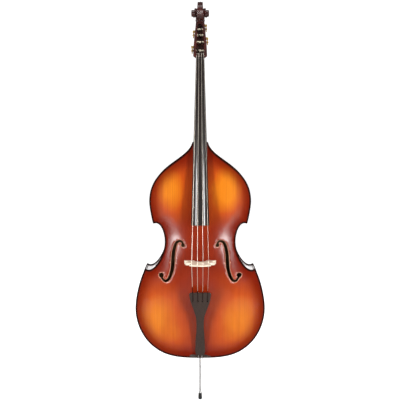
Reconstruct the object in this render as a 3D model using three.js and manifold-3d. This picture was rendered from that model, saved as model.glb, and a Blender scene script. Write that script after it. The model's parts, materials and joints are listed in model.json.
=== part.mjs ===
// Double bass of three-quarter size, with worm-gear tuning machines and a sliding endpin.
// Millimetres. +Z runs up the instrument, the top plate faces -Y, and +X is the treble side.
// The origin is the middle of the flat underside of the rubber endpin tip.
import * as THREE from 'three';
import { mergeVertices } from 'three/addons/utils/BufferGeometryUtils.js';
import Module from 'manifold-3d';

// ---- Driving dimensions ----
const GAP = 0.3; // running or glue gap between neighbouring pieces

// Body
const bodyBottom = 245.3;
const bodyTop = 1357;
const lowerBoutHalf = 333;
const waistHalf = 181;
const upperBoutHalf = 260;
const lowerBoutZ = 506;
const waistZ = 852;
const upperBoutZ = 1056;
const ribDepthHalf = 95; // the ribs run from y = -95 to y = +95
const ribThick = 2.5;
const overhang = 5; // how far the plates stand out past the ribs
const plateThick = 6;
const topCrown = 30; // rise of the arch above the plate's edge
const backCrown = 24;
const taperStart = 1000; // above this height the back comes forward towards the heel
const taperDepth = 38;
const cornerBlunt = 3.5;

// Strings and setup
const scale = { bridgeZ: 752, bridgeY: -290, nutZ: 1790, nutY: -54 };
const bridgeCamber = 75;
const nutCamber = 60;
const nutLength = 9.7;
const afterSlope = 0.335; // fall of the strings between the bridge and the tailpiece
const stringSet = [
  { name: 'e', radius: 1.4, bridgeX: -42, nutX: -19, tailX: -36 },
  { name: 'a', radius: 1.15, bridgeX: -14, nutX: -6.5, tailX: -12 },
  { name: 'd', radius: 0.95, bridgeX: 14, nutX: 6.5, tailX: 12 },
  { name: 'g', radius: 0.75, bridgeX: 42, nutX: 19, tailX: 36 },
];

// Neck
const board = { endZ: 947, nutZ: 1785, endHalf: 45.5, nutHalf: 22, endCrownY: -235, nutCrownY: -51.5 };
const boardEndSag = 14;
const boardNutSag = 5;
const boardEndY = -209; // underside of the fingerboard at its free end
const boardNutY = -38.5;
const handleInset = 0.4; // how far the handle's sides stand in from the fingerboard's
const handleRoundness = 0.8; // 1 is an ellipse, and less is fuller at the corners
const tenonHalf = 28;
const tenonDepth = 16;
const pegboxBottom = 1786;
const pegboxTop = 1992;
const pegboxSlope = 0.32; // how fast the pegbox leans back
const pegboxFrontY = -43; // front of the cheeks at their lower end
const scrollEye = { y: 30, z: 2019, half: 47.5, radius: 18 };
const scrollRootZ = 1972; // where the scroll runs into the pegbox
const scrollCrestHalf = 14;
const scrollTurnHalf = 29;

// Endpin
const pinRadius = 5.25;
const pinTopZ = 440;
const pinNotches = { first: 82, last: 280, pitch: 44, depth: 0.8 };
const collarBore = 5.8;
const blockBore = 13;

// Tuning machines: one worm and wheel for each string, a single thread on the worm
const wheelTeeth = 20;
const wormPitch = 4.4;
const wheelPitchRadius = (wheelTeeth * wormPitch) / (2 * Math.PI);
const wormPitchRadius = 4.5;
const wormRise = wheelPitchRadius + wormPitchRadius;
const wheelOut = 7.9; // from the cheek's seat to the middle of the wheel
const wheelThick = 5;
const rollerRadius = 6.5;
const rollerDepth = 24; // behind the front of the cheeks
const spigotRadius = 3.4;
const keyOut = 62; // from the worm's middle to the foot of its key
const machines = [
  { name: 'e', side: -1, z: 1825, windX: -12 },
  { name: 'g', side: 1, z: 1870, windX: 9 },
  { name: 'a', side: -1, z: 1906, windX: -6 },
  { name: 'd', side: 1, z: 1938, windX: 4 },
];

// ---- Solids ----
const { lerp, smoothstep } = THREE.MathUtils;
const farForward = -400; // beyond every piece, for cutting tools that only need to pass right through
const farRearward = 400;
const wasm = await Module();
wasm.setup();

// Welds a geometry, drops collapsed triangles and turns its faces outwards.
function welded(geometry) {
  const bare = geometry.clone();
  for (const name of Object.keys(bare.attributes)) {
    if (name !== 'position') bare.deleteAttribute(name);
  }
  const merged = mergeVertices(bare, 1e-4);
  const position = merged.attributes.position;
  const index = merged.index.array;
  const corner = [new THREE.Vector3(), new THREE.Vector3(), new THREE.Vector3()];
  const kept = [];
  let volume = 0;
  for (let i = 0; i < index.length; i += 3) {
    const [a, b, c] = [index[i], index[i + 1], index[i + 2]];
    if (a === b || b === c || c === a) continue;
    [a, b, c].forEach((k, j) => corner[j].fromBufferAttribute(position, k));
    volume += corner[0].dot(corner[1].clone().cross(corner[2]));
    kept.push(a, b, c);
  }
  if (volume < 0) kept.reverse();
  merged.setIndex(kept);
  return merged;
}

function toSolid(geometry) {
  const body = welded(geometry);
  return new wasm.Manifold(new wasm.Mesh({
    numProp: 3,
    vertProperties: body.attributes.position.array,
    triVerts: Uint32Array.from(body.index.array),
  }));
}

function toGeometry(solid) {
  const result = solid.getMesh();
  const geometry = new THREE.BufferGeometry();
  geometry.setAttribute('position', new THREE.BufferAttribute(result.vertProperties, 3));
  geometry.setIndex(new THREE.BufferAttribute(result.triVerts, 1));
  return geometry;
}

function join(first, ...others) {
  return toGeometry(others.reduce((sum, other) => sum.add(toSolid(other)), toSolid(first)));
}

function cut(first, ...tools) {
  return toGeometry(tools.reduce((rest, tool) => rest.subtract(toSolid(tool)), toSolid(first)));
}

function common(first, second) {
  return toGeometry(toSolid(first).intersect(toSolid(second)));
}

// A closed body through a row of equal, convex sections.
function loft(sections) {
  const count = sections[0].length;
  const points = sections.flat();
  const index = [];
  for (let s = 0; s + 1 < sections.length; s += 1) {
    for (let i = 0; i < count; i += 1) {
      const a = s * count + i;
      const b = s * count + ((i + 1) % count);
      index.push(a, b, a + count, b, b + count, a + count);
    }
  }
  const last = (sections.length - 1) * count;
  for (let i = 1; i + 1 < count; i += 1) {
    index.push(0, i + 1, i);
    index.push(last, last + i, last + i + 1);
  }
  const geometry = new THREE.BufferGeometry().setFromPoints(points);
  geometry.setIndex(index);
  return welded(geometry);
}

function extruded(shape, depth) {
  return new THREE.ExtrudeGeometry(shape, { depth, bevelEnabled: false });
}

// A flat outline of (x, z) points given thickness in y, from front(x, z) to back(x, z).
function slab(outline, front, back) {
  const geometry = extruded(new THREE.Shape(outline), 1);
  const position = geometry.attributes.position;
  for (let i = 0; i < position.count; i += 1) {
    const x = position.getX(i);
    const z = position.getY(i);
    const y = lerp(front(x, z), back(x, z), position.getZ(i));
    position.setXYZ(i, x, y, z);
  }
  return welded(geometry);
}

// A body turned about the z axis from (radius, z) points, then laid along the axis that is asked for.
function turned(profile, sides, axis = 'z') {
  const closed = profile.map(([r, h]) => new THREE.Vector2(r, h));
  if (profile[0][0] > 0) closed.push(closed[0].clone());
  const geometry = new THREE.LatheGeometry(closed, sides);
  if (axis === 'z') geometry.rotateX(Math.PI / 2);
  if (axis === 'x') geometry.rotateZ(-Math.PI / 2);
  return welded(geometry);
}

function box(x0, x1, y0, y1, z0, z1) {
  const geometry = new THREE.BoxGeometry(x1 - x0, y1 - y0, z1 - z0);
  return geometry.translate((x0 + x1) / 2, (y0 + y1) / 2, (z0 + z1) / 2);
}

function rod(radius, from, to, axis, sides = 16) {
  return turned([[0, from], [radius, from], [radius, to], [0, to]], sides, axis);
}

// A wire with its bends at exactly the points given.
class BentWire extends THREE.Curve {
  constructor(points) {
    super();
    this.points = points;
  }

  getSpacedPoints() {
    return this.points.map((p) => p.clone());
  }

  getPointAt(u, target = new THREE.Vector3()) {
    return target.copy(this.points[Math.round(u * (this.points.length - 1))]);
  }

  getTangentAt(u, target = new THREE.Vector3()) {
    const i = Math.round(u * (this.points.length - 1));
    const here = this.points[i];
    const before = this.points[Math.max(i - 1, 0)];
    const after = this.points[Math.min(i + 1, this.points.length - 1)];
    const into = here.clone().sub(before).normalize();
    return target.copy(after).sub(here).normalize().add(into).normalize();
  }
}

// The points of a circle, without the repeated last one.
function circle(radius, sides) {
  return new THREE.Path().absarc(0, 0, radius, 0, 2 * Math.PI).getPoints(sides / 2).slice(0, -1);
}

function wire(points, radius, sides) {
  const section = new THREE.Shape(circle(radius, sides));
  const options = { extrudePath: new BentWire(points), steps: points.length - 1, bevelEnabled: false };
  return welded(new THREE.ExtrudeGeometry(section, options));
}

// ---- Body outline ----
const v2 = (x, z) => new THREE.Vector2(x, z);
const curve = (...p) => new THREE.CubicBezierCurve(...p);

function bout(...curves) {
  const path = new THREE.CurvePath();
  curves.forEach((c) => path.add(c));
  return path;
}

const lowerTip = v2(281, 713);
const upperTip = v2(240, 942);
const bouts = {
  lower: bout(
    curve(v2(0, bodyBottom), v2(80, bodyBottom), v2(161, 247), v2(224, 292)),
    curve(v2(224, 292), v2(292, 338), v2(lowerBoutHalf, 421), v2(lowerBoutHalf, lowerBoutZ)),
    curve(v2(lowerBoutHalf, lowerBoutZ), v2(lowerBoutHalf, 564), v2(311, 659), lowerTip),
  ),
  centre: bout(
    curve(lowerTip, v2(246, 678), v2(waistHalf, 772), v2(waistHalf, waistZ)),
    curve(v2(waistHalf, waistZ), v2(waistHalf, 894), v2(201, 961), upperTip),
  ),
  upper: bout(
    curve(upperTip, v2(247, 962), v2(upperBoutHalf, 1031), v2(upperBoutHalf, upperBoutZ)),
    curve(v2(upperBoutHalf, upperBoutZ), v2(upperBoutHalf, 1241), v2(63, 1260), v2(41, bodyTop)),
  ),
};

// Points along a bout of the treble side, moved inwards, between two distances from its ends.
function along(path, inset, fromStart, fromEnd, count) {
  const length = path.getLength();
  return Array.from({ length: count + 1 }, (_, i) => {
    const t = lerp(fromStart / length, 1 - fromEnd / length, i / count);
    const tangent = path.getTangent(t);
    const point = path.getPoint(t);
    return v2(point.x - tangent.y * inset, point.y + tangent.x * inset);
  });
}

const mirrored = (points) => points.map((p) => v2(-p.x, p.y)).reverse();
const sided = (points, side) => (side > 0 ? points : mirrored(points));

function plateOutline() {
  const right = [
    ...along(bouts.lower, 0, 0, cornerBlunt, 22),
    ...along(bouts.centre, 0, cornerBlunt, cornerBlunt, 12),
    ...along(bouts.upper, 0, cornerBlunt, 0, 15),
  ];
  return [...right, ...mirrored(right).slice(0, -1)];
}

// ---- Arching ----
const archEnds = 3.2; // how late the arch falls away towards the ends, and then towards the sides
const archSides = 1.5;
const innerShare = 0.9; // the inside rises this share of the crown, so the plate is thicker at the middle
const taperCurve = 1.6;

// Half the width of the arched part of a plate at height z.
function archHalfWidth(z) {
  if (z <= bodyBottom || z >= bodyTop) return 0;
  if (z < lowerBoutZ) {
    const down = (lowerBoutZ - z) / (lowerBoutZ - bodyBottom);
    return lowerBoutHalf * Math.sqrt(1 - down ** 2);
  }
  if (z < waistZ) return lerp(lowerBoutHalf, waistHalf, smoothstep(z, lowerBoutZ, waistZ));
  if (z < upperBoutZ) return lerp(waistHalf, upperBoutHalf, smoothstep(z, waistZ, upperBoutZ));
  return upperBoutHalf * Math.sqrt(1 - ((z - upperBoutZ) / (bodyTop - upperBoutZ)) ** 2);
}

// Share of the crown that the arch reaches at a point: 1 on the middle line, 0 at the edge.
function arch(x, z) {
  const across = Math.abs(x) / Math.max(archHalfWidth(z), 1);
  if (across >= 1) return 0;
  const middle = (bodyBottom + bodyTop) / 2;
  const up = Math.abs(z - middle) / (bodyTop - middle);
  return (1 - up ** archEnds) * (1 - across ** 2) ** archSides;
}

const topOuter = (x, z) => -(ribDepthHalf + plateThick + topCrown * arch(x, z));
const topInner = (x, z) => -(ribDepthHalf + innerShare * topCrown * arch(x, z));
const taper = (z) => taperDepth * (Math.max(z - taperStart, 0) / (bodyTop - taperStart)) ** taperCurve;
const ribBack = (z) => ribDepthHalf - taper(z);
const backInner = (x, z) => ribBack(z) + innerShare * backCrown * arch(x, z);
const backOuter = (x, z) => ribBack(z) + plateThick + backCrown * arch(x, z);

const sheetGrid = { halfWidth: 344, bottom: 238, top: 1394, columns: 12, rows: 20 };

// A sheet over the whole body on one shared grid, so that sheets made with it stay parallel.
function sheet(front, back) {
  const { halfWidth, bottom, top, columns, rows } = sheetGrid;
  const geometry = new THREE.BoxGeometry(2 * halfWidth, 1, top - bottom, columns, 1, rows);
  const position = geometry.attributes.position;
  for (let i = 0; i < position.count; i += 1) {
    const x = position.getX(i);
    const z = position.getZ(i) + (top + bottom) / 2;
    position.setXYZ(i, x, position.getY(i) < 0 ? front(x, z) : back(x, z), z);
  }
  return geometry;
}

const aheadOfTopInner = sheet(() => farForward, (x, z) => topInner(x, z) + GAP);
const behindTopOuter = sheet((x, z) => topOuter(x, z) - GAP, () => 0);
const behindBackInner = sheet((x, z) => backInner(x, z) - GAP, () => farRearward);

// ---- Plates ----
// The f-hole is a stem of changing width between two round eyes, on the treble side.
const fHole = {
  upperEye: [88, 835, 10],
  lowerEye: [200, 679, 13],
  endHalf: 5.2,
  swell: 4.3, // how much wider than at its ends the stem's half width is in the middle
  stem: [
    [88, 841], [95, 853], [107, 855], [121, 846], [131, 822], [137.5, 785], [139.5, 746], [144, 707],
    [155, 672], [168, 653], [182, 650], [193, 661], [200, 673],
  ],
};

function fHoleCutter(side) {
  const path = new THREE.SplineCurve(fHole.stem.map(([x, z]) => v2(x, z)));
  const steps = 16;
  const left = [];
  const right = [];
  for (let i = 0; i <= steps; i += 1) {
    const t = i / steps;
    const half = fHole.endHalf + fHole.swell * Math.sin(Math.PI * t) ** 2;
    const p = path.getPointAt(t);
    const d = path.getTangentAt(t);
    left.push(v2(p.x - d.y * half, p.y + d.x * half));
    right.push(v2(p.x + d.y * half, p.y - d.x * half));
  }
  const stem = sided([...left, ...right.reverse()], side);
  const eye = ([x, z, r]) => rod(r, farForward, 0, 'y', 14).translate(side * x, 0, z);
  return join(slab(stem, () => farForward, () => 0), eye(fHole.upperEye), eye(fHole.lowerEye));
}

const saddle = { half: 55, bottom: 248, top: 268, frontY: -110 };

function topPlate() {
  const blank = slab(plateOutline(), () => farForward, () => 0);
  const plate = common(sheet(topOuter, topInner), blank);
  const saddleNotch = box(-saddle.half - GAP, saddle.half + GAP, farForward, 0, 0, saddle.top + GAP);
  return cut(plate, saddleNotch, fHoleCutter(1), fHoleCutter(-1));
}

const buttonRadius = 27;

function backPlate() {
  const button = rod(buttonRadius, 0, farRearward, 'y', 20).translate(0, 0, bodyTop);
  const outline = join(slab(plateOutline(), () => 0, () => farRearward), button);
  return common(sheet(backInner, backOuter), outline);
}

// ---- Ribs, linings and blocks ----
const inside = overhang + ribThick + GAP;
const blockInset = inside + 1;
const blockReach = 45;
const endBlockReach = 62;
const endBlockTop = 300;
const neckBlockReach = 75;
const ribEnds = {
  lower: { from: GAP / 2, to: 6.9, count: 22, liningSkips: [3, 2] },
  centre: { from: 10.4, to: 10.4, count: 12, liningSkips: [2, 2] },
  upper: { from: 6.9, to: 9, count: 16, liningSkips: [2, 3] },
};
const ribFront = () => -ribDepthHalf + GAP;
const ribRear = (x, z) => ribBack(z) - GAP;
const pinHole = rod(blockBore, 200, 400, 'z', 20);

function rib(name, side) {
  const { from, to, count } = ribEnds[name];
  const outer = along(bouts[name], overhang, from, to, count);
  const inner = along(bouts[name], overhang + ribThick, from, to, count);
  const strip = slab(sided([...outer, ...inner.reverse()], side), ribFront, ribRear);
  return name === 'lower' ? cut(strip, pinHole) : strip;
}

const liningThick = 6;
const liningTall = 15;

// A lining shares its rib's stations, and leaves out those that the blocks take at each end.
function lining(name, side, atBack) {
  const { from, to, count, liningSkips } = ribEnds[name];
  const [skipStart, skipEnd] = liningSkips;
  const stations = (inset) => along(bouts[name], inset, from, to, count).slice(skipStart, -skipEnd);
  const outline = sided([...stations(inside), ...stations(inside + liningThick).reverse()], side);
  if (atBack) return slab(outline, (x, z) => ribRear(x, z) - liningTall, ribRear);
  return slab(outline, ribFront, () => ribFront() + liningTall);
}

function cornerBlock(first, second, side) {
  const clear = 15; // from the tip of the corner
  const depth = blockInset + 18; // how far the block reaches into the body
  const start = bouts[first].getLength() - blockReach;
  const end = bouts[second].getLength() - blockReach;
  const outline = [
    along(bouts[first], depth, start, clear, 1)[0],
    ...along(bouts[first], blockInset, start, clear, 3),
    ...along(bouts[second], blockInset, clear, end, 3),
    along(bouts[second], depth, clear, end, 1)[1],
  ];
  return slab(sided(outline, side), ribFront, ribRear);
}

function endBlock() {
  const right = along(bouts.lower, blockInset, 0, bouts.lower.getLength() - endBlockReach, 4);
  const side = right.at(-1).x;
  const outline = [...right, v2(side, endBlockTop), v2(-side, endBlockTop), ...mirrored(right).slice(0, -1)];
  return cut(slab(outline, ribFront, ribRear), pinHole);
}

function neckBlock() {
  const clear = 12;
  const right = along(bouts.upper, blockInset, bouts.upper.getLength() - neckBlockReach, clear, 4);
  const floor = bodyTop - tenonDepth - GAP;
  const pocket = box(-tenonHalf - GAP, tenonHalf + GAP, farForward, farRearward, floor, bodyTop + tenonDepth);
  return cut(slab([...right, ...mirrored(right)], ribFront, ribRear), pocket);
}

// The bass bar stands under the bridge's bass foot, and each entry is [height, depth].
const bassBarX = -36;
const bassBarHalf = 9;
const bassBarDepths = [[400, 14], [560, 28], [760, 38], [960, 28], [1200, 16]];

function bassBar() {
  const front = -ribDepthHalf - topCrown * innerShare;
  const section = ([z, depth]) => [
    new THREE.Vector3(bassBarX - bassBarHalf, front, z),
    new THREE.Vector3(bassBarX + bassBarHalf, front, z),
    new THREE.Vector3(bassBarX + bassBarHalf, front + depth, z),
    new THREE.Vector3(bassBarX - bassBarHalf, front + depth, z),
  ];
  return cut(loft(bassBarDepths.map(section)), aheadOfTopInner);
}

// The sound post stands a little below the bridge's treble foot.
const soundPostAt = { x: 38, z: 716, radius: 9 };

function soundPost() {
  const { x, z, radius } = soundPostAt;
  const post = rod(radius, farForward, farRearward, 'y', 16).translate(x, 0, z);
  return cut(post, aheadOfTopInner, behindBackInner);
}

// ---- Neck ----
const lineBetween = (z, z0, y0, z1, y1) => y0 + ((z - z0) * (y1 - y0)) / (z1 - z0);
const boardUnder = (z) => lineBetween(z, board.endZ, boardEndY, board.nutZ, boardNutY);
const boardCrown = (z) => lineBetween(z, board.endZ, board.endCrownY, board.nutZ, board.nutCrownY);
const boardHalf = (z) => lineBetween(z, board.endZ, board.endHalf, board.nutZ, board.nutHalf);
const camberDrop = (x, radius) => radius - Math.sqrt(radius ** 2 - x ** 2);
const radiusFor = (half, sag) => (half ** 2 + sag ** 2) / (2 * sag);

function fingerboard() {
  const section = (z, sag) => {
    const half = boardHalf(z);
    const radius = radiusFor(half, sag);
    const steps = 10;
    const top = Array.from({ length: steps + 1 }, (_, i) => {
      const x = half * (1 - (2 * i) / steps);
      return new THREE.Vector3(x, boardCrown(z) + camberDrop(x, radius), z);
    });
    return [...top, new THREE.Vector3(-half, boardUnder(z), z), new THREE.Vector3(half, boardUnder(z), z)];
  };
  return loft([section(board.endZ, boardEndSag), section(board.nutZ - GAP, boardNutSag)]);
}

// The back of the handle and heel, from the nut down to the button.
const heelCurve = new THREE.CubicBezierCurve(v2(-66, 1500), v2(-52, 1425), v2(-15, 1400), v2(60, 1386));

function neckSection(z, backY) {
  const half = boardHalf(z) - handleInset;
  const frontY = boardUnder(z) + GAP;
  const steps = 10;
  return Array.from({ length: steps + 1 }, (_, i) => {
    const angle = (Math.PI * i) / steps;
    const across = Math.sign(Math.cos(angle)) * Math.abs(Math.cos(angle)) ** handleRoundness;
    const depth = (backY - frontY) * Math.sin(angle) ** handleRoundness;
    return new THREE.Vector3(half * across, frontY + depth, z);
  });
}

const pegboxSections = [
  { z: pegboxBottom, half: 23, depth: 36 },
  { z: 1796, half: 36, depth: 44 },
  { z: 1830, half: 35, depth: 56 },
  { z: 1870, half: 32.5, depth: 62 },
  { z: 1932, half: 26.3, depth: 58 },
  { z: 1972, half: 22.5, depth: 50 },
  { z: 1981, half: 25.5, depth: 48 },
  { z: pegboxTop, half: 23.5, depth: 46 },
];
const pegboxFront = (z) => pegboxFrontY + pegboxSlope * (z - pegboxBottom);

function pegboxHalf(z) {
  const upper = pegboxSections.findIndex((s) => s.z >= z);
  const [low, high] = [pegboxSections[upper - 1], pegboxSections[upper]];
  return lineBetween(z, low.z, low.half, high.z, high.half);
}

const pegboxRounding = [[1, 0], [1, 0.7], [0.86, 0.9], [0.5, 1], [-0.5, 1], [-0.86, 0.9], [-1, 0.7], [-1, 0]];
const channelSections = [
  { z: 1798, half: 21, deep: 28 },
  { z: 1812, half: 20, deep: 36 },
  { z: 1966, half: 13, deep: 36 },
];

function pegboxSolid() {
  const section = ({ z, half, depth }) => {
    const front = pegboxFront(z);
    return pegboxRounding.map(([across, back]) => new THREE.Vector3(half * across, front + depth * back, z));
  };
  const ahead = -60;
  const channel = ({ z, half, deep }) => [[1, ahead], [1, deep], [-1, deep], [-1, ahead]].map(
    ([across, y]) => new THREE.Vector3(half * across, pegboxFront(z) + y, z),
  );
  return cut(loft(pegboxSections.map(section)), loft(channelSections.map(channel)));
}

// Turns a body drawn in x and y, with its depth in z, so that they become y and z, with the depth in x.
const outwards = new THREE.Matrix4().set(0, 0, 1, 0, 1, 0, 0, 0, 0, 1, 0, 0, 0, 0, 0, 1);

// The side view of the scroll, laid across the neck by the half width that is asked for.
function scrollSlice(points, half) {
  return extruded(new THREE.Shape(points), 2 * half).translate(0, 0, -half).applyMatrix4(outwards);
}

// Points on a spiral about the eye. Turn 0 is straight up, and it winds forwards and down.
function spiral(startRadius, endRadius, fromTurn, toTurn, count) {
  return Array.from({ length: count + 1 }, (_, i) => {
    const share = i / count;
    const angle = 2 * Math.PI * lerp(fromTurn, toTurn, share);
    const radius = startRadius * (endRadius / startRadius) ** share;
    return v2(scrollEye.y - radius * Math.sin(angle), scrollEye.z + radius * Math.cos(angle));
  });
}

function scrollSolid() {
  const crest = [
    v2(58, scrollRootZ),
    ...spiral(58, 61, -0.3, 0, 8),
    ...spiral(61, 43, 0, 0.5, 12).slice(1),
    v2(14, scrollRootZ),
  ];
  const secondTurn = spiral(34, 25, 0, 1, 20).slice(0, -1);
  const { y, z, half, radius } = scrollEye;
  const eye = rod(radius, -half, half, 'x', 16).translate(0, y, z);
  return join(scrollSlice(crest, scrollCrestHalf), scrollSlice(secondTurn, scrollTurnHalf), eye);
}

const handleDepths = [[1640, 29], [1760, 27]];
const tenonFront = -94;
const tenonBack = 48;
const nutSeatY = -35.4;

function neck() {
  const heelSteps = 6;
  const heel = Array.from({ length: heelSteps + 1 }, (_, i) => heelCurve.getPoint(1 - i / heelSteps));
  const stations = [
    v2(60, bodyTop + GAP),
    ...heel,
    ...handleDepths.map(([z, depth]) => v2(boardUnder(z) + depth, z)),
    v2(-8, pegboxBottom + 4),
  ];
  const handle = loft(stations.map((p) => neckSection(p.y, p.x)));
  const tenon = box(-tenonHalf, tenonHalf, tenonFront, tenonBack, bodyTop - tenonDepth, bodyTop + 5);
  const nutSeat = box(-60, 60, farForward, nutSeatY, board.nutZ - 2, board.nutZ + nutLength + 0.6);
  const whole = join(handle, tenon, pegboxSolid(), scrollSolid());
  return cut(whole, behindBackInner, nutSeat, ...machines.flatMap(machineSeats));
}

// The crest of the nut falls away on both sides of the line where the strings bend.
function nut() {
  const half = board.nutHalf;
  const bottom = nutSeatY - GAP;
  const steps = 8;
  const section = ([z, fall]) => {
    const crest = Array.from({ length: steps + 1 }, (_, i) => {
      const x = half - (2 * half * i) / steps;
      return new THREE.Vector3(x, scale.nutY + 1.9 + fall + camberDrop(x, nutCamber), z);
    });
    return [new THREE.Vector3(half, bottom, z), ...crest, new THREE.Vector3(-half, bottom, z)];
  };
  return loft([[board.nutZ, -1.1], [scale.nutZ, 0], [board.nutZ + nutLength, 5]].map(section));
}

// ---- Bridge, tailpiece, saddle and strings ----
const bridgeTopY = (x) => scale.bridgeY + 2.3 + camberDrop(x, bridgeCamber);

// Outline points are (x, height in front of the ribs' middle), for the treble half, from the foot up.
const bridgeSide = [
  [32, 112], [80.5, 112], [80.5, 137], [66, 145], [60, 160], [63, 174], [72, 184], [74, 196], [64, 206],
  [50, 211], [41, 219], [42, 231], [52, 238], [54, 252],
];
const bridgeCrestX = [48, 36, 24, 12, 0, -12, -24, -36, -48];
const bridgeArch = [[-32, 136], [-20, 158], [0, 168], [20, 158], [32, 136]];
const bridgeHeart = [[0, 190], [14, 206], [11, 219], [0, 212], [-11, 219], [-14, 206]];

function bridge() {
  const points = (pairs) => pairs.map(([x, up]) => v2(x, up));
  const right = points(bridgeSide);
  const crest = bridgeCrestX.map((x) => v2(x, -bridgeTopY(x)));
  const shape = new THREE.Shape([...right, ...crest, ...mirrored(right), ...points(bridgeArch)]);
  shape.holes.push(new THREE.Path(points(bridgeHeart)));
  const blank = extruded(shape, 60).translate(0, 0, scale.bridgeZ - 40).scale(1, -1, 1);
  const wedge = [[-100, 738, 759], [scale.bridgeY, 750, 754]].map(([y, low, high]) => [
    new THREE.Vector3(-100, y, low),
    new THREE.Vector3(100, y, low),
    new THREE.Vector3(100, y, high),
    new THREE.Vector3(-100, y, high),
  ]);
  return cut(common(welded(blank), loft(wedge)), behindTopOuter);
}

const tailCrown = (z) => scale.bridgeY + (scale.bridgeZ - z) * afterSlope + 2.2;
const tailCamber = 130;
const tailHoleZ = 566;
const tailHoleRadius = 3.4;
const tailFretZ = 604; // where the strings pass over the wide end
const tailSections = [
  [264, 14, 10], [270, 21, 11], [285, 25, 12], [334, 24, 13], [400, 20, 14], [442, 19, 14], [478, 21.5, 14],
  [514, 32.5, 14], [566, 49, 15], [602, 55, 16], [610, 47, 14],
];

// The wire leaves the tailpiece, bends over the saddle and loops behind the collar of the endpin.
const wireRadius = 1.6;
const wireStrand = [
  [9, -117.5, 290], [9, -117.5, 266], [9.5, -113.4, 252], [10, -112.6, 246],
  [11, -108, 242], [11.5, -98, 241.6], [14.5, -30, 243.5], [15.7, -8, 246.9],
];

function tailpiece() {
  const section = ([z, half, thick]) => {
    const steps = 6;
    const front = Array.from({ length: steps + 1 }, (_, i) => {
      const x = half * (1 - (2 * i) / steps);
      return new THREE.Vector3(x, tailCrown(z) + camberDrop(x, tailCamber), z);
    });
    const rear = tailCrown(z) + thick + camberDrop(half, tailCamber) * 0.5;
    return [...front, new THREE.Vector3(-half * 0.9, rear, z), new THREE.Vector3(half * 0.9, rear, z)];
  };
  const holes = stringSet.map(
    ({ tailX }) => rod(tailHoleRadius, farForward, 0, 'y', 12).translate(tailX, 0, tailHoleZ),
  );
  const [wireX, wireY, wireTop] = wireStrand[0];
  const wireHoles = [-wireX, wireX].map(
    (x) => rod(wireRadius + 1, bodyBottom, wireTop + 2, 'z', 10).translate(x, wireY, 0),
  );
  return cut(loft(tailSections.map(section)), ...holes, ...wireHoles);
}

function saddlePiece() {
  const { half, bottom, top, frontY } = saddle;
  const rear = -ribDepthHalf + GAP - 1;
  const section = (x, front) => [
    new THREE.Vector3(x, rear, bottom),
    new THREE.Vector3(x, front + 3, bottom),
    new THREE.Vector3(x, front, bottom + 3),
    new THREE.Vector3(x, front, bottom + 9),
    new THREE.Vector3(x, -ribDepthHalf - plateThick, top),
    new THREE.Vector3(x, rear, top),
  ];
  const low = -ribDepthHalf - plateThick - 1;
  const crest = half / 2;
  return loft([section(-half, low), section(-crest, frontY), section(crest, frontY), section(half, low)]);
}

function tailWire() {
  const loopSteps = 8;
  const [loopRadius, , loopZ] = wireStrand.at(-1);
  const loop = Array.from({ length: loopSteps + 1 }, (_, i) => {
    const angle = (Math.PI * i) / loopSteps;
    return new THREE.Vector3(loopRadius * Math.cos(angle), loopRadius * Math.sin(angle), loopZ);
  });
  const down = wireStrand.map((p) => new THREE.Vector3(...p));
  const up = wireStrand.map(([x, y, z]) => new THREE.Vector3(-x, y, z)).reverse();
  return wire([...down, ...loop, ...up], wireRadius, 6);
}

function string({ name, radius, bridgeX, nutX, tailX }) {
  const machine = machines.find((m) => m.name === name);
  const holeY = tailCrown(tailHoleZ) + camberDrop(tailX, tailCamber);
  const shareAtFret = (scale.bridgeZ - tailFretZ) / (scale.bridgeZ - tailHoleZ);
  const fretX = lerp(bridgeX, tailX, shareAtFret);
  const fretY = tailCrown(tailFretZ) + camberDrop(fretX, tailCamber) - 2.6;
  const windY = rollerY(machine) - windRadius(radius) - GAP - radius;
  return wire([
    new THREE.Vector3(tailX, holeY + 9, tailHoleZ),
    new THREE.Vector3(tailX, holeY - radius - 0.8, tailHoleZ),
    new THREE.Vector3(fretX, fretY, tailFretZ),
    new THREE.Vector3(bridgeX, scale.bridgeY + camberDrop(bridgeX, bridgeCamber), scale.bridgeZ),
    new THREE.Vector3(nutX, scale.nutY + camberDrop(nutX, nutCamber), scale.nutZ),
    new THREE.Vector3(machine.windX, windY, machine.z),
  ], radius, 6);
}

// ---- Endpin ----
const collarProfile = [
  [collarBore, 228], [11, 228], [15.5, 230.5], [18, 235], [18, 240.5], [16.5, 244.6],
  [13.6, 244.9], [13.6, 249.4], [12.7, 250], [11.6, 299], [collarBore, 299],
];
const thumbZ = 237.5;
const thumbRadius = 3;

function endpinCollar() {
  const screwHole = rod(thumbRadius + GAP, -25, -2, 'x', 12).translate(0, 0, thumbZ);
  return cut(turned(collarProfile, 18), screwHole);
}

function endpinRod() {
  const profile = [[0, 8.3], [3, 8.3], [pinRadius, 14]];
  const { first, last, pitch, depth } = pinNotches;
  for (let z = first; z < last; z += pitch) {
    profile.push([pinRadius, z - 2], [pinRadius - depth, z - 1]);
    profile.push([pinRadius - depth, z + 1], [pinRadius, z + 2]);
  }
  return turned([...profile, [pinRadius, pinTopZ - 2], [pinRadius - 1.5, pinTopZ], [0, pinTopZ]], 10);
}

const tipProfile = [[0, 0], [7, 0], [9.5, 2.5], [10, 8], [9.6, 24], [8.2, 34], [5.6, 34], [5.6, 8], [0, 8]];
const ringProfile = [[5.6, 34.3], [8.4, 34.3], [8.4, 38], [7.4, 39.4], [5.6, 39.4]];

const wingTilt = 0.35;
const wingOutline = [
  [-22.5, -4], [-28, -9], [-36, -10], [-38, -6], [-34, 0], [-38, 6], [-36, 10], [-28, 9], [-22.5, 4],
];

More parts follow.
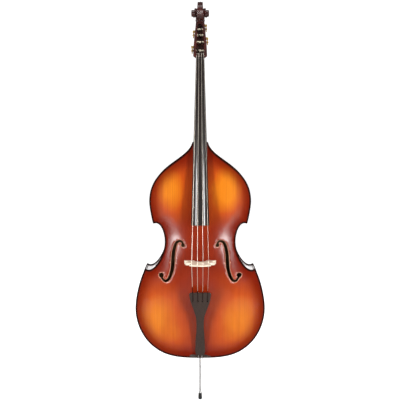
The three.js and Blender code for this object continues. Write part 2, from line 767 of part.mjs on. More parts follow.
function thumbScrew() {
  const shank = turned([[0, -25], [5, -25], [5, -21.5], [3, -21], [3, -5.6], [0, -5.6]], 12, 'x');
  const wing = extruded(new THREE.Shape(wingOutline.map(([x, y]) => v2(x, y))), 4).translate(0, 0, -2);
  return join(shank, wing.rotateX(Math.PI / 2 - wingTilt)).translate(0, 0, thumbZ);
}

// ---- Tuning machines ----
const rollerY = (machine) => pegboxFront(machine.z) + rollerDepth;
const windRadius = (stringRadius) => rollerRadius + 2 * stringRadius;
const plateSize = { thick: 1.5, half: 15, below: 15, above: 26 };
const shaftRadius = 2.6;
const wormRoot = 3.1;
const wormTip = 5.7;
const lugThick = 3.5;

const seatDepth = 0.6;
const seatMargin = 0.6;

// Distance from the middle to the flat seat that is cut into the cheek.
const seatX = (machine) => pegboxHalf(machine.z + plateSize.above) - seatDepth;

function machineSeats(machine) {
  const { side, z } = machine;
  const y = rollerY(machine);
  const x = seatX(machine);
  const { half, below, above } = plateSize;
  const reach = half + seatMargin;
  const seat = box(x, x + 30, y - reach, y + reach, z - below - seatMargin, z + above + seatMargin);
  const hole = rod(rollerRadius + 0.5, -x - 1.5, x + 5, 'x', 16).translate(0, y, z);
  if (side < 0) [seat, hole].forEach((g) => g.rotateZ(Math.PI).translate(0, 2 * y, 0));
  return [seat, hole];
}

// The pieces below are built about the roller's axis for the treble side, with +X away from the middle.
function tunerPlate() {
  const { thick, half, below, above } = plateSize;
  const bevel = 5;
  const outline = [
    [-half, -below + bevel], [-half + bevel, -below], [half - bevel, -below], [half, -below + bevel],
    [half, above - bevel], [half - bevel, above], [-half + bevel, above], [-half, above - bevel],
  ];
  const plate = extruded(new THREE.Shape(outline.map(([y, z]) => v2(y, z))), thick).applyMatrix4(outwards);
  const lug = (y) => box(thick - 0.5, wheelOut + 4, y, y + lugThick, wormRise - 5, wormRise + 5);
  const bore = rod(shaftRadius + GAP, -30, 30, 'y', 12).translate(wheelOut, 0, wormRise);
  const hole = rod(rollerRadius + 0.5, -5, 5, 'x', 16);
  return cut(join(plate, lug(-half), lug(half - lugThick)), bore, hole);
}

const keyLobe = [[0, 0], [6, 2], [13, 8], [15, 15], [12, 21], [6, 22], [2, 18], [0, 17]];
const keyThick = 3;
const keyTilt = 0.3;

// A worm on its shaft, with the flat butterfly key behind the pegbox. It turns about the y axis.
function wormKey() {
  const perTurn = 8;
  const turns = 2.25;
  const segments = perTurn * turns;
  const thread = Array.from({ length: segments + 1 }, (_, i) => {
    const angle = 2 * Math.PI * (i / perTurn - turns / 2);
    const along = (wormPitch * angle) / (2 * Math.PI);
    return [[wormRoot - 0.2, -1.1], [wormTip, -0.5], [wormTip, 0.5], [wormRoot - 0.2, 1.1]].map(
      ([r, step]) => new THREE.Vector3(r * Math.sin(angle), along + step, r * Math.cos(angle)),
    );
  });
  const { half } = plateSize;
  const inner = half - lugThick - GAP;
  const core = turned([
    [0, -half], [shaftRadius, -half], [shaftRadius, -inner], [wormRoot, -inner], [wormRoot, inner],
    [shaftRadius, inner], [shaftRadius, keyOut - 4], [4, keyOut - 3], [4, keyOut + 3], [0, keyOut + 3],
  ], 10, 'y');
  const lobe = keyLobe.map(([x, y]) => v2(x, y + keyOut));
  const leaf = new THREE.Shape([...lobe, ...mirrored(lobe).slice(1, -1)]);
  const blade = extruded(leaf, keyThick).translate(0, 0, -keyThick / 2);
  return join(loft(thread), core, blade.rotateY(Math.PI / 2 - keyTilt));
}

// One tooth as [radius, angle from its middle].
const toothCorners = [[12.6, -0.083], [15.2, -0.033], [15.2, 0.033], [12.6, 0.083]];

function gearWheel() {
  const outline = [];
  for (let tooth = 0; tooth < wheelTeeth; tooth += 1) {
    const middle = (2 * Math.PI * tooth) / wheelTeeth;
    for (const [r, turn] of toothCorners) {
      outline.push(v2(r * Math.sin(middle + turn), r * Math.cos(middle + turn)));
    }
  }
  const shape = new THREE.Shape(outline);
  shape.holes.push(new THREE.Path(circle(spigotRadius + GAP, 12)));
  const wheel = extruded(shape, wheelThick).applyMatrix4(outwards);
  return welded(wheel.translate(wheelOut - wheelThick / 2, 0, 0));
}

// The roller runs from the far cheek to the wheel, with the wound string as rings at windX.
function roller(machine, stringRadius) {
  const x = seatX(machine);
  const wound = windRadius(stringRadius);
  const farEnd = -2 * x + 3;
  const profile = [[0, farEnd], [rollerRadius, farEnd]];
  const windAt = machine.windX * machine.side - x - GAP;
  for (const turn of [-0.5, 0.5]) {
    const at = windAt + turn * 2.3 * stringRadius;
    const flank = 1.1 * stringRadius;
    const flat = 0.4 * stringRadius;
    profile.push([rollerRadius, at - flank], [wound, at - flat], [wound, at + flat]);
    profile.push([rollerRadius, at + flank]);
  }
  const shoulder = wheelOut - wheelThick / 2 - GAP;
  const nearEnd = wheelOut + wheelThick / 2 + 1;
  profile.push([rollerRadius, shoulder], [spigotRadius, shoulder], [spigotRadius, nearEnd], [0, nearEnd]);
  return turned(profile, 10, 'x');
}

// ---- Finishes ----
function finish(color, roughness, metalness) {
  return () => new THREE.MeshStandardMaterial({ color, roughness, metalness });
}

const spruce = finish(0xc0561f, 0.28, 0);
const maple = finish(0x8c3616, 0.25, 0);
const darkMaple = finish(0x3c1914, 0.22, 0);
const bareWood = finish(0xd9b98a, 0.7, 0);
const bridgeWood = finish(0xe6cfa6, 0.6, 0);
const ebony = finish(0x2b2622, 0.4, 0);
const steel = finish(0xc9c9c8, 0.3, 1);
const brass = finish(0xb08a3e, 0.35, 1);
const rubber = finish(0x141414, 0.8, 0);

// ---- Assembly ----
const group = new THREE.Group();

function place(name, geometry, makeMaterial, parent = group) {
  const mesh = new THREE.Mesh(geometry, makeMaterial());
  mesh.name = name;
  parent.add(mesh);
}

place('top_plate', topPlate(), spruce);
place('back_plate', backPlate(), maple);
for (const [sideName, side] of [['bass', -1], ['treble', 1]]) {
  for (const name of Object.keys(bouts)) {
    place(`rib_${name}_${sideName}`, rib(name, side), maple);
    place(`lining_top_${name}_${sideName}`, lining(name, side, false), bareWood);
    place(`lining_back_${name}_${sideName}`, lining(name, side, true), bareWood);
  }
  place(`corner_block_lower_${sideName}`, cornerBlock('lower', 'centre', side), bareWood);
  place(`corner_block_upper_${sideName}`, cornerBlock('centre', 'upper', side), bareWood);
}
place('neck_block', neckBlock(), bareWood);
place('end_block', endBlock(), bareWood);
place('bass_bar', bassBar(), bareWood);
place('sound_post', soundPost(), bareWood);
place('neck', neck(), darkMaple);
place('fingerboard', fingerboard(), ebony);
place('nut', nut(), ebony);
place('bridge', bridge(), bridgeWood);
place('tailpiece', tailpiece(), ebony);
place('saddle', saddlePiece(), ebony);
place('tail_wire', tailWire(), steel);
place('endpin_collar', endpinCollar(), brass);
place('endpin_rod', endpinRod(), steel);
place('endpin_tip', turned(tipProfile, 20), rubber);
place('tip_ring', turned(ringProfile, 20), steel);
place('thumb_screw', thumbScrew(), steel);

for (const machine of machines) {
  const { name, side, z } = machine;
  const spec = stringSet.find((s) => s.name === name);
  const y = rollerY(machine);
  const stand = new THREE.Group();
  stand.position.set(side * (seatX(machine) + GAP), y, z);
  const facing = new THREE.Group();
  facing.scale.x = side;
  stand.add(facing);
  group.add(stand);
  place(`tuner_plate_${name}`, tunerPlate(), brass, facing);
  place(`gear_wheel_${name}`, gearWheel(), brass, facing);
  place(`roller_${name}`, roller(machine, spec.radius), brass, facing);
  const shaft = new THREE.Group();
  shaft.position.set(side * wheelOut, 0, wormRise);
  stand.add(shaft);
  place(`worm_key_${name}`, wormKey(), brass, shaft);
  place(`string_${name}`, string(spec), steel);
}

export default group;
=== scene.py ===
"""Fine surfaces and finishes for a three-quarter double bass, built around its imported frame.

Everything is in metres in the frame's own axes: +Z runs up the instrument, the top plate faces -Y and
+X is the treble side. Each sub-assembly is a class, each finish is a small frozen dataclass, and main()
builds them in order.
"""

import json
import logging
import math
from dataclasses import dataclass, field
from enum import Enum
from typing import Callable, Sequence

import bmesh
import bpy
import numpy as np
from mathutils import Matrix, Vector
from mathutils.geometry import delaunay_2d_cdt

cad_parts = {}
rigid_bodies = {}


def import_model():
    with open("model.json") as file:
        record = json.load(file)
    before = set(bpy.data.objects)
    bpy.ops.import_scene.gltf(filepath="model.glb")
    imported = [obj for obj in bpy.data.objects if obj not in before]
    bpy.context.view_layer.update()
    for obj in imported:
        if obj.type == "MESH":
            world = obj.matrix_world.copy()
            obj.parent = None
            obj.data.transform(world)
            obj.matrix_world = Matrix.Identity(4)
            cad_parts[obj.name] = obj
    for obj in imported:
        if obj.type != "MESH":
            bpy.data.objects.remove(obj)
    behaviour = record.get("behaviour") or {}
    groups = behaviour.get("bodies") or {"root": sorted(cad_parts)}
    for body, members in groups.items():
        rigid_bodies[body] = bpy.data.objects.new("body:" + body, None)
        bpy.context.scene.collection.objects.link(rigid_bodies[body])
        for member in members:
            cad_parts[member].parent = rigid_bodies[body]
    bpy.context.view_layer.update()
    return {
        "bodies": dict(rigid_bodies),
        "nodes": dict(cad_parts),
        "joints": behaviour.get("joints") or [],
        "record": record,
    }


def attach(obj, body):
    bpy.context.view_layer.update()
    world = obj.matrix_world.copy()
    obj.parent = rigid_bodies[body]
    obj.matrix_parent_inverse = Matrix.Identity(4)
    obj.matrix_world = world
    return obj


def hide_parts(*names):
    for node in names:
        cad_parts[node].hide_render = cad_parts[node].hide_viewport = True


LOG = logging.getLogger("double_bass")
MM = 0.001
INSTRUMENT = "instrument"
FRAME: dict = {}

WELD = 2e-6  # metres within which points of one piece are joined
FLAT_WELD = 1e-4  # millimetres within which points of a flat outline are joined
BATCH = 2000  # points whose distances are worked out at once

Colour = tuple[float, float, float, float]
Material = bpy.types.Material
Point2 = tuple[float, float]
Section = Sequence[Sequence[float]]
Socket = bpy.types.NodeSocket


class Side(Enum):
    """The two halves of the instrument, as the sign of their x coordinate."""

    BASS = -1
    TREBLE = 1


class Face(Enum):
    """The two arched plates, as the sign of the way that they face along y."""

    TOP = -1
    BACK = 1


class Axis(Enum):
    """The axis that a turned piece is turned about."""

    X = "x"
    Y = "y"
    Z = "z"


def srgb(red: int, green: int, blue: int) -> Colour:
    """Turns an eight-bit display colour into linear values with full alpha.

    Args:
        red: Red from 0 to 255.
        green: Green from 0 to 255.
        blue: Blue from 0 to 255.

    Returns:
        The linear red, green, blue and alpha.
    """
    channels = [((c / 255 + 0.055) / 1.055) ** 2.4 if c > 10 else c / 255 / 12.92 for c in (red, green, blue)]
    return (*channels, 1.0)


def eased(value: np.ndarray, low: float, high: float) -> np.ndarray:
    """Eases from 0 at low to 1 at high."""
    share = np.clip((value - low) / (high - low), 0, 1)
    return share**2 * (3 - 2 * share)


def blend(first: float, second: float, share: float) -> float:
    """Mixes two numbers."""
    return first + (second - first) * share


# --------------------------------------------------------------------------------------------------
# Finishes
# --------------------------------------------------------------------------------------------------


class Shader:
    """A small builder round one node material with a Principled shader."""

    def __init__(self, name: str) -> None:
        """Starts an empty material.

        Args:
            name: Name of the material.
        """
        self.material = bpy.data.materials.new(name)
        self.material.use_nodes = True
        self.tree = self.material.node_tree
        self.principled = self.tree.nodes["Principled BSDF"]
        self.coords = self.tree.nodes.new("ShaderNodeTexCoord")

    def set(self, **values: float) -> None:
        """Sets plain values on the shader's own sockets, with underscores for spaces."""
        for key, value in values.items():
            self.principled.inputs[key.replace("_", " ")].default_value = value

    def link(self, output: Socket, socket: str) -> None:
        """Feeds an output into one of the shader's sockets."""
        self.tree.links.new(output, self.principled.inputs[socket])

    def attribute(self, name: str) -> Socket:
        """Gives the value of a mesh attribute.

        Args:
            name: Name of the attribute.

        Returns:
            The value.
        """
        node = self.tree.nodes.new("ShaderNodeAttribute")
        node.attribute_name = name
        return node.outputs["Fac"]

    def stretched(self, scale: Sequence[float]) -> Socket:
        """Gives the place in metres, stretched along each axis.

        Args:
            scale: The stretch along x, y and z.

        Returns:
            The stretched place.
        """
        node = self.tree.nodes.new("ShaderNodeMapping")
        node.inputs["Scale"].default_value = tuple(scale)
        self.tree.links.new(self.coords.outputs["Object"], node.inputs["Vector"])
        return node.outputs["Vector"]

    def noise(self, scale: Sequence[float], detail: float = 3.0, distortion: float = 0.0) -> Socket:
        """Gives noise from 0 to 1.

        Args:
            scale: Cells per metre along x, y and z.
            detail: Octaves of finer noise.
            distortion: How much the cells are pulled about.

        Returns:
            The noise value.
        """
        node = self.tree.nodes.new("ShaderNodeTexNoise")
        node.inputs["Scale"].default_value = 1.0
        node.inputs["Detail"].default_value = detail
        node.inputs["Distortion"].default_value = distortion
        self.tree.links.new(self.stretched(scale), node.inputs["Vector"])
        return node.outputs["Fac"]

    def spread(self, value: Socket, source: Point2, target: Point2) -> Socket:
        """Maps a value from one range to another, eased and clamped.

        Args:
            value: The value.
            source: Its own lowest and highest.
            target: What those two become.

        Returns:
            The mapped value.
        """
        node = self.tree.nodes.new("ShaderNodeMapRange")
        node.interpolation_type = "SMOOTHSTEP"
        self.tree.links.new(value, node.inputs["Value"])
        for socket, number in zip(("From Min", "From Max", "To Min", "To Max"), (*source, *target)):
            node.inputs[socket].default_value = number
        return node.outputs["Result"]

    def ramp(self, value: Socket, stops: Sequence[tuple[float, tuple]]) -> Socket:
        """Turns a value into a colour along a ramp.

        Args:
            value: The value, from 0 to 1.
            stops: Pairs of a place from 0 to 1 and its colour, in rising order.

        Returns:
            The colour.
        """
        node = self.tree.nodes.new("ShaderNodeValToRGB")
        elements = node.color_ramp.elements
        while len(elements) < len(stops):
            elements.new(0.5)
        for element, (place, colour) in zip(elements, stops):
            element.position = place
            element.color = colour
        self.tree.links.new(value, node.inputs["Fac"])
        return node.outputs["Color"]

    def mix(self, share: Socket, first: object, second: object, how: str = "MIX") -> Socket:
        """Mixes two colours, each a socket or a plain colour, by a share.

        Args:
            share: How much of the second colour there is, from 0 to 1.
            first: The first colour.
            second: The second colour.
            how: The node's name for the way of mixing.

        Returns:
            The mixed colour.
        """
        node = self.tree.nodes.new("ShaderNodeMix")
        node.data_type = "RGBA"
        node.blend_type = how
        self.tree.links.new(share, node.inputs["Factor"])
        for socket, colour in ((node.inputs[6], first), (node.inputs[7], second)):
            if isinstance(colour, Socket):
                self.tree.links.new(colour, socket)
            else:
                socket.default_value = colour
        return node.outputs[2]

    def combine(self, first: Socket, second: object, how: str) -> Socket:
        """Joins a value with another value or a number by a math operation.

        Args:
            first: The first value.
            second: The second value or a number.
            how: The node's name for the operation.

        Returns:
            The result.
        """
        node = self.tree.nodes.new("ShaderNodeMath")
        node.operation = how
        self.tree.links.new(first, node.inputs[0])
        if isinstance(second, Socket):
            self.tree.links.new(second, node.inputs[1])
        else:
            node.inputs[1].default_value = second
        return node.outputs[0]

    def bump(self, height: Socket, depth: float) -> None:
        """Adds fine relief, with depth in metres.

        Args:
            height: The relief from 0 to 1.
            depth: What 1 stands for, in metres.
        """
        node = self.tree.nodes.new("ShaderNodeBump")
        node.inputs["Strength"].default_value = 1.0
        node.inputs["Distance"].default_value = depth
        self.tree.links.new(height, node.inputs["Height"])
        self.tree.links.new(node.outputs["Normal"], self.principled.inputs["Normal"])


@dataclass(frozen=True)
class SunburstFinish:
    """Satin sunburst varnish over straight-grained spruce, driven by the burst and edge attributes. Its
    near-black rim band is partly the burst's dark edge and partly a painted shadow line.
    """

    name: str = "sunburst_varnish"
    red: Colour = srgb(104, 20, 6)
    brown: Colour = srgb(140, 40, 10)
    orange: Colour = srgb(182, 72, 12)
    amber: Colour = srgb(216, 122, 18)
    # Near-black of the rim band, partly the burst's dark edge and partly a painted shadow line.
    edge: Colour = srgb(24, 6, 4)
    roughness: float = 0.5
    coat: float = 0.75
    worn_coat: float = 0.14
    coat_roughness: float = 0.14
    clouds: tuple[float, float, float] = (7, 7, 5)
    grain: tuple[float, float, float] = (520, 30, 3.0)
    broad_grain: tuple[float, float, float] = (70, 20, 1.2)
    gloss_patches: tuple[float, float, float] = (30, 30, 18)
    red_reach: Point2 = (0.006, 0.085)
    dark_edge_and_shadow_reach: Point2 = (0.0042, 0.0125)
    coat_reach: Point2 = (0.02, 0.055)
    relief: float = 0.00006

    def make(self) -> Material:
        """Builds the material.

        Returns:
            The material.
        """
        s = Shader(self.name)
        clouds = s.spread(s.noise(self.clouds, 4, 0.4), (0.2, 0.8), (-0.09, 0.09))
        burst = s.combine(s.attribute("burst"), clouds, "ADD")
        stops = [(0.0, self.red), (0.25, self.brown), (0.58, self.orange), (1.0, self.amber)]
        colour = s.ramp(burst, stops)
        grain = s.noise(self.grain, 3, 0.3)
        colour = s.mix(s.spread(grain, (0.4, 0.75), (0.0, 0.17)), colour, self.red, "MULTIPLY")
        broad = s.noise(self.broad_grain, 2)
        colour = s.mix(s.spread(broad, (0.35, 0.7), (0.0, 0.16)), colour, self.brown)
        rim = s.attribute("edge")
        colour = s.mix(s.spread(rim, self.red_reach, (0.85, 0.0)), colour, self.red)
        # Near-black band a few millimetres in from the rim: partly the burst's dark edge, partly a painted
        # shadow line.
        colour = s.mix(s.spread(rim, self.dark_edge_and_shadow_reach, (1.0, 0.0)), colour, self.edge)
        s.link(colour, "Base Color")
        patches = s.noise(self.gloss_patches, 4)
        s.link(s.spread(patches, (0.3, 0.7), (self.roughness - 0.05, self.roughness + 0.07)), "Roughness")
        s.link(s.spread(rim, self.coat_reach, (self.worn_coat, self.coat)), "Coat Weight")
        s.set(Coat_Roughness=self.coat_roughness, Specular_IOR_Level=0.0)
        s.bump(grain, self.relief)
        return s.material


@dataclass(frozen=True)
class FlamedFinish:
    """Red-brown varnish over flamed maple, for the ribs, the back and the neck. Near the plates' edges it can
    darken as painted shade: under the overhang on the ribs, and partly as a painted shadow line on the back's
    rim.
    """

    name: str
    light: Colour = srgb(158, 62, 20)
    middle: Colour = srgb(116, 34, 12)
    dark: Colour = srgb(70, 18, 8)
    flame: tuple[float, float, float] = (34.0, 3.0, 34.0)
    roughness: float = 0.3
    coat: float = 0.7
    coat_roughness: float = 0.12
    # Near-black painted shade close to the plates' edges: under the overhang on the ribs, partly a painted
    # shadow line on the back's rim.
    paints_edge_shade: bool = True
    edge: Colour = srgb(26, 8, 5)
    edge_shade_reach: Point2 = (0.003, 0.012)
    fleck: tuple[float, float, float] = (260, 260, 60)
    wear: tuple[float, float, float] = (14, 14, 9)
    relief: float = 0.00001

    def make(self) -> Material:
        """Builds the material.

        Returns:
            The material.
        """
        s = Shader(self.name)
        flame = s.noise(self.flame, 2, 1.1)
        colour = s.ramp(flame, [(0.3, self.dark), (0.5, self.middle), (0.72, self.light)])
        fleck = s.noise(self.fleck, 2)
        colour = s.mix(s.spread(fleck, (0.5, 0.8), (0.0, 0.3)), colour, self.dark)
        wear = s.noise(self.wear, 5, 0.5)
        colour = s.mix(s.spread(wear, (0.3, 0.7), (0.25, 0.0)), colour, self.dark)
        # Painted shade: darkens to near-black within about 12 mm of the plates' edges.
        if self.paints_edge_shade:
            colour = s.mix(s.spread(s.attribute("edge"), self.edge_shade_reach, (0.92, 0.0)), colour, self.edge)
        s.link(colour, "Base Color")
        s.link(s.spread(wear, (0.3, 0.7), (self.roughness - 0.04, self.roughness + 0.08)), "Roughness")
        s.set(Coat_Weight=self.coat, Coat_Roughness=self.coat_roughness, Specular_IOR_Level=0.2)
        s.bump(fleck, self.relief)
        return s.material


@dataclass(frozen=True)
class WoodFinish:
    """Plain wood with long grain along one axis, oiled or bare."""

    name: str
    light: Colour
    dark: Colour
    grain: tuple[float, float, float] = (420.0, 420.0, 9.0)
    roughness: float = 0.55
    specular: float = 0.5
    coat: float = 0.0
    coat_roughness: float = 0.2
    relief: float = 0.00008
    patches: tuple[float, float, float] = (16, 16, 8)

    def make(self) -> Material:
        """Builds the material.

        Returns:
            The material.
        """
        s = Shader(self.name)
        grain = s.noise(self.grain, 4, 0.35)
        colour = s.ramp(grain, [(0.3, self.dark), (0.7, self.light)])
        patches = s.noise(self.patches, 3)
        colour = s.mix(s.spread(patches, (0.35, 0.75), (0.0, 0.3)), colour, self.dark)
        s.link(colour, "Base Color")
        s.link(s.spread(patches, (0.3, 0.7), (self.roughness - 0.05, self.roughness + 0.06)), "Roughness")
        s.set(Specular_IOR_Level=self.specular, Coat_Weight=self.coat, Coat_Roughness=self.coat_roughness)
        s.bump(grain, self.relief)
        return s.material


@dataclass(frozen=True)
class MetalFinish:
    """Metal with fine scratches, dull patches and a touch of tarnish."""

    name: str
    colour: Colour
    tarnish: Colour
    roughness: float = 0.28
    scratches: tuple[float, float, float] = (900.0, 900.0, 60.0)
    relief: float = 0.00002
    patches: tuple[float, float, float] = (90, 90, 90)

    def make(self) -> Material:
        """Builds the material.

        Returns:
            The material.
        """
        s = Shader(self.name)
        patches = s.noise(self.patches, 4, 0.3)
        colour = s.mix(s.spread(patches, (0.45, 0.75), (0.0, 0.6)), self.colour, self.tarnish)
        s.link(colour, "Base Color")
        scratch = s.noise(self.scratches, 3)
        s.link(s.spread(scratch, (0.2, 0.8), (self.roughness - 0.08, self.roughness + 0.12)), "Roughness")
        s.set(Metallic=1.0)
        s.bump(scratch, self.relief)
        return s.material


@dataclass(frozen=True)
class WoundStringFinish:
    """Flat-wound steel, with the winding as rings round the string."""

    name: str
    colour: Colour = srgb(250, 240, 226)
    groove: Colour = srgb(184, 172, 158)
    turns_per_metre: float = 2600.0
    metallic: float = 1.0
    roughness: float = 0.34
    specular: float = 0.5
    patches: tuple[float, float, float] = (200, 200, 25)
    relief: float = 0.00003

    def make(self) -> Material:
        """Builds the material.

        Returns:
            The material.
        """
        s = Shader(self.name)
        winding = s.noise((3, 3, self.turns_per_metre), 1)
        patches = s.noise(self.patches, 3)
        grooves = s.spread(winding, (0.35, 0.65), (0.0, 0.25))
        share = s.combine(grooves, s.spread(patches, (0.4, 0.8), (0.0, 0.25)), "ADD")
        s.link(s.mix(share, self.colour, self.groove), "Base Color")
        s.link(s.spread(patches, (0.3, 0.7), (self.roughness - 0.06, self.roughness + 0.08)), "Roughness")
        s.set(Metallic=self.metallic, Specular_IOR_Level=self.specular)
        s.bump(winding, self.relief)
        return s.material


@dataclass(frozen=True)
class RubberFinish:
    """Matt black rubber with dust in its pores."""

    name: str = "rubber"
    colour: Colour = srgb(26, 25, 25)
    dust: Colour = srgb(70, 67, 64)
    pores: tuple[float, float, float] = (700, 700, 700)
    roughness: Point2 = (0.62, 0.85)
    relief: float = 0.00008

    def make(self) -> Material:
        """Builds the material.

        Returns:
            The material.
        """
        s = Shader(self.name)
        pores = s.noise(self.pores, 4)
        s.link(s.mix(s.spread(pores, (0.5, 0.8), (0.0, 0.4)), self.colour, self.dust), "Base Color")
        s.link(s.spread(pores, (0.3, 0.7), self.roughness), "Roughness")
        s.bump(pores, self.relief)
        return s.material


class Palette:
    """Every finish of the instrument, made once."""

    def __init__(self) -> None:
        """Makes the materials."""
        self.sunburst = SunburstFinish().make()
        self.ribs = FlamedFinish("rib_varnish", flame=(42.0, 2.0, 42.0)).make()
        self.back = FlamedFinish("back_varnish", flame=(6.0, 4.0, 62.0)).make()
        self.neck = FlamedFinish(
            "neck_varnish", srgb(78, 26, 18), srgb(56, 17, 12), srgb(38, 11, 8), (30.0, 30.0, 70.0),
            roughness=0.4, coat=0.8, coat_roughness=0.08, paints_edge_shade=False,
        ).make()
        # Pale bare wood for the f-holes' cut edges and chamfers, lightened partly as a painted highlight.
        self.cut_edge_and_highlight = WoodFinish(
            "f_hole_edge_and_highlight", srgb(232, 176, 150), srgb(196, 120, 92), (60, 300, 20)
        ).make()
        # Near-black matt finish for the plates' rounded edges: partly the dark edge of the finish, partly a
        # painted shadow line.
        self.rim = WoodFinish(
            "dark_rim_and_shadow_line", srgb(36, 11, 8), srgb(22, 7, 5), (60, 60, 60), roughness=0.8, specular=0.0
        ).make()
        # Painted shade: near-black matt finish for the discs that stand in for the tailpiece's string holes.
        self.painted_hole_shade = WoodFinish(
            "painted_hole_shade_disc", srgb(16, 12, 10), srgb(8, 6, 5), (90, 90, 90), roughness=0.8, specular=0.0
        ).make()
        self.bare = WoodFinish(
            "bare_spruce", srgb(228, 192, 142), srgb(188, 148, 104), (420, 60, 9), roughness=0.75
        ).make()
        self.inner = WoodFinish(
            "inner_wood", srgb(104, 78, 56), srgb(66, 46, 32), (300, 60, 9), roughness=0.8
        ).make()
        self.bridge = WoodFinish(
            "bridge_maple", srgb(255, 248, 230), srgb(246, 230, 200), (60, 420, 300),
            roughness=0.5, relief=0.00002,
        ).make()
        self.fingerboard = WoodFinish(
            "fingerboard_ebony", srgb(34, 22, 18), srgb(18, 12, 10), (500, 500, 6),
            roughness=0.36, specular=0.2, coat=1.0, coat_roughness=0.12, relief=0.000004,
        ).make()
        self.tailpiece = WoodFinish(
            "tailpiece_ebony", srgb(64, 49, 42), srgb(44, 34, 29), (450, 450, 7),
            roughness=0.5, specular=0.25, coat=0.1, coat_roughness=0.3, relief=0.00003,
        ).make()
        self.steel = MetalFinish("brushed_steel", srgb(214, 214, 214), srgb(160, 158, 156)).make()
        self.dark_steel = MetalFinish("blackened_steel", srgb(70, 68, 68), srgb(34, 32, 32), 0.36).make()
        self.brass = MetalFinish("aged_brass", srgb(214, 178, 112), srgb(132, 96, 50), 0.3).make()
        self.pale_brass = MetalFinish("worn_pale_brass", srgb(216, 206, 184), srgb(140, 124, 96), 0.34).make()
        self.string = WoundStringFinish("wound_steel").make()
        self.silk = WoundStringFinish(
            "silk_wrap", srgb(40, 22, 20), srgb(18, 10, 10), turns_per_metre=1400.0,
            metallic=0.0, roughness=0.8, specular=0.05,
        ).make()
        self.rubber = RubberFinish().make()


# --------------------------------------------------------------------------------------------------
# Mesh tools. Sizes are in millimetres until MeshBuilder.build turns them into metres.
# --------------------------------------------------------------------------------------------------


def bezier(corners: Sequence[Point2], steps: int) -> list[Point2]:
    """Samples a cubic curve, leaving out its last point.

    Args:
        corners: The curve's four control points.
        steps: How many points to give.

    Returns:
        The points along the curve.
    """
    points = []
    for i in range(steps):
        t = i / steps
        weights = ((1 - t) ** 3, 3 * t * (1 - t) ** 2, 3 * t * t * (1 - t), t**3)
        points.append(tuple(sum(w * c[k] for w, c in zip(weights, corners)) for k in (0, 1)))
    return points


def spline(points: Sequence[Sequence[float]], per_span: int) -> list[tuple[float, ...]]:
    """Runs a smooth curve through points, with per_span steps between neighbours.

    Args:
        points: The points it passes through.
        per_span: Steps between neighbours.

    Returns:
        The points along the curve, with its last point.
    """
    p = np.array(points, float)
    p = np.vstack([2 * p[0] - p[1], p, 2 * p[-1] - p[-2]])
    out = []
    for i in range(1, len(p) - 2):
        for t in np.arange(per_span) / per_span:
            a = 2 * p[i]
            b = (p[i + 1] - p[i - 1]) * t
            c = (2 * p[i - 1] - 5 * p[i] + 4 * p[i + 1] - p[i + 2]) * t**2
            d = (3 * p[i] - p[i - 1] - 3 * p[i + 1] + p[i + 2]) * t**3
            out.append(tuple((a + b + c + d) / 2))
    return out + [tuple(p[-2])]


def trimmed(path: Sequence[Point2], start: float, end: float) -> np.ndarray:
    """Cuts lengths in millimetres off the two ends of a path.

    Args:
        path: The path.
        start: How much to cut off its start.
        end: How much to cut off its end.

    Returns:
        The shorter path.
    """
    p = np.array(path, float)
    lengths = np.concatenate([[0], np.cumsum(np.linalg.norm(np.diff(p, axis=0), axis=1))])
    keep = (lengths > start) & (lengths < lengths[-1] - end)
    ends = [[np.interp(at, lengths, p[:, k]) for k in (0, 1)] for at in (start, lengths[-1] - end)]
    return np.vstack([ends[0], p[keep], ends[1]])


def inset(path: np.ndarray, distance: float) -> np.ndarray:
    """Moves an open path sideways, to the left of its direction by distance.

    Args:
        path: The path.
        distance: How far to its left it goes.

    Returns:
        The moved path.
    """
    tangent = np.gradient(path, axis=0)
    tangent /= np.linalg.norm(tangent, axis=1)[:, None]
    return path + distance * np.column_stack([-tangent[:, 1], tangent[:, 0]])


def distance_to(path: np.ndarray, points: np.ndarray) -> np.ndarray:
    """Gives each point's distance from a closed path.

    Args:
        path: The path's corners.
        points: The points.

    Returns:
        One distance for each point.
    """
    ends = np.roll(path, -1, axis=0)
    run = ends - path
    squared = np.maximum((run**2).sum(1), 1e-12)
    best = np.empty(len(points))
    for start in range(0, len(points), BATCH):
        part = points[start : start + BATCH, None, :] - path[None]
        share = np.clip((part * run).sum(2) / squared, 0, 1)
        gap = part - share[..., None] * run
        best[start : start + BATCH] = np.sqrt((gap**2).sum(2).min(1))
    return best


def inside(path: np.ndarray, points: np.ndarray) -> np.ndarray:
    """Says which points lie inside a closed path.

    Args:
        path: The path's corners.
        points: The points.

    Returns:
        True for each point that does.
    """
    x, z = points[:, 0], points[:, 1]
    found = np.zeros(len(points), bool)
    for (x0, z0), (x1, z1) in zip(path, np.roll(path, -1, axis=0)):
        if z0 == z1:
            continue
        crosses = ((z0 > z) != (z1 > z)) & (x < (x1 - x0) * (z - z0) / (z1 - z0) + x0)
        found ^= crosses
    return found


def triangulated(
    outline: Section, holes: Sequence[Section], extra: Section = ()
) -> tuple[np.ndarray, np.ndarray]:
    """Triangulates a flat outline with holes through it.

    Args:
        outline: The closed outline.
        holes: Closed loops that are cut out.
        extra: Further points for the triangles to use.

    Returns:
        The flat points, and the triangles that are kept.
    """
    points: list[Vector] = []
    edges: list[tuple[int, int]] = []
    for loop in (outline, *holes):
        base = len(points)
        points += [Vector(tuple(p)) for p in loop]
        edges += [(base + i, base + (i + 1) % len(loop)) for i in range(len(loop))]
    points += [Vector(tuple(p)) for p in extra]
    found = delaunay_2d_cdt(points, edges, [], 0, FLAT_WELD)
    flat = np.array([tuple(v) for v in found[0]])
    faces = np.array(found[2])
    middles = flat[faces].mean(1)
    keep = inside(np.array(outline), middles)
    for loop in holes:
        keep &= ~inside(np.array(loop), middles)
    return flat, faces[keep]


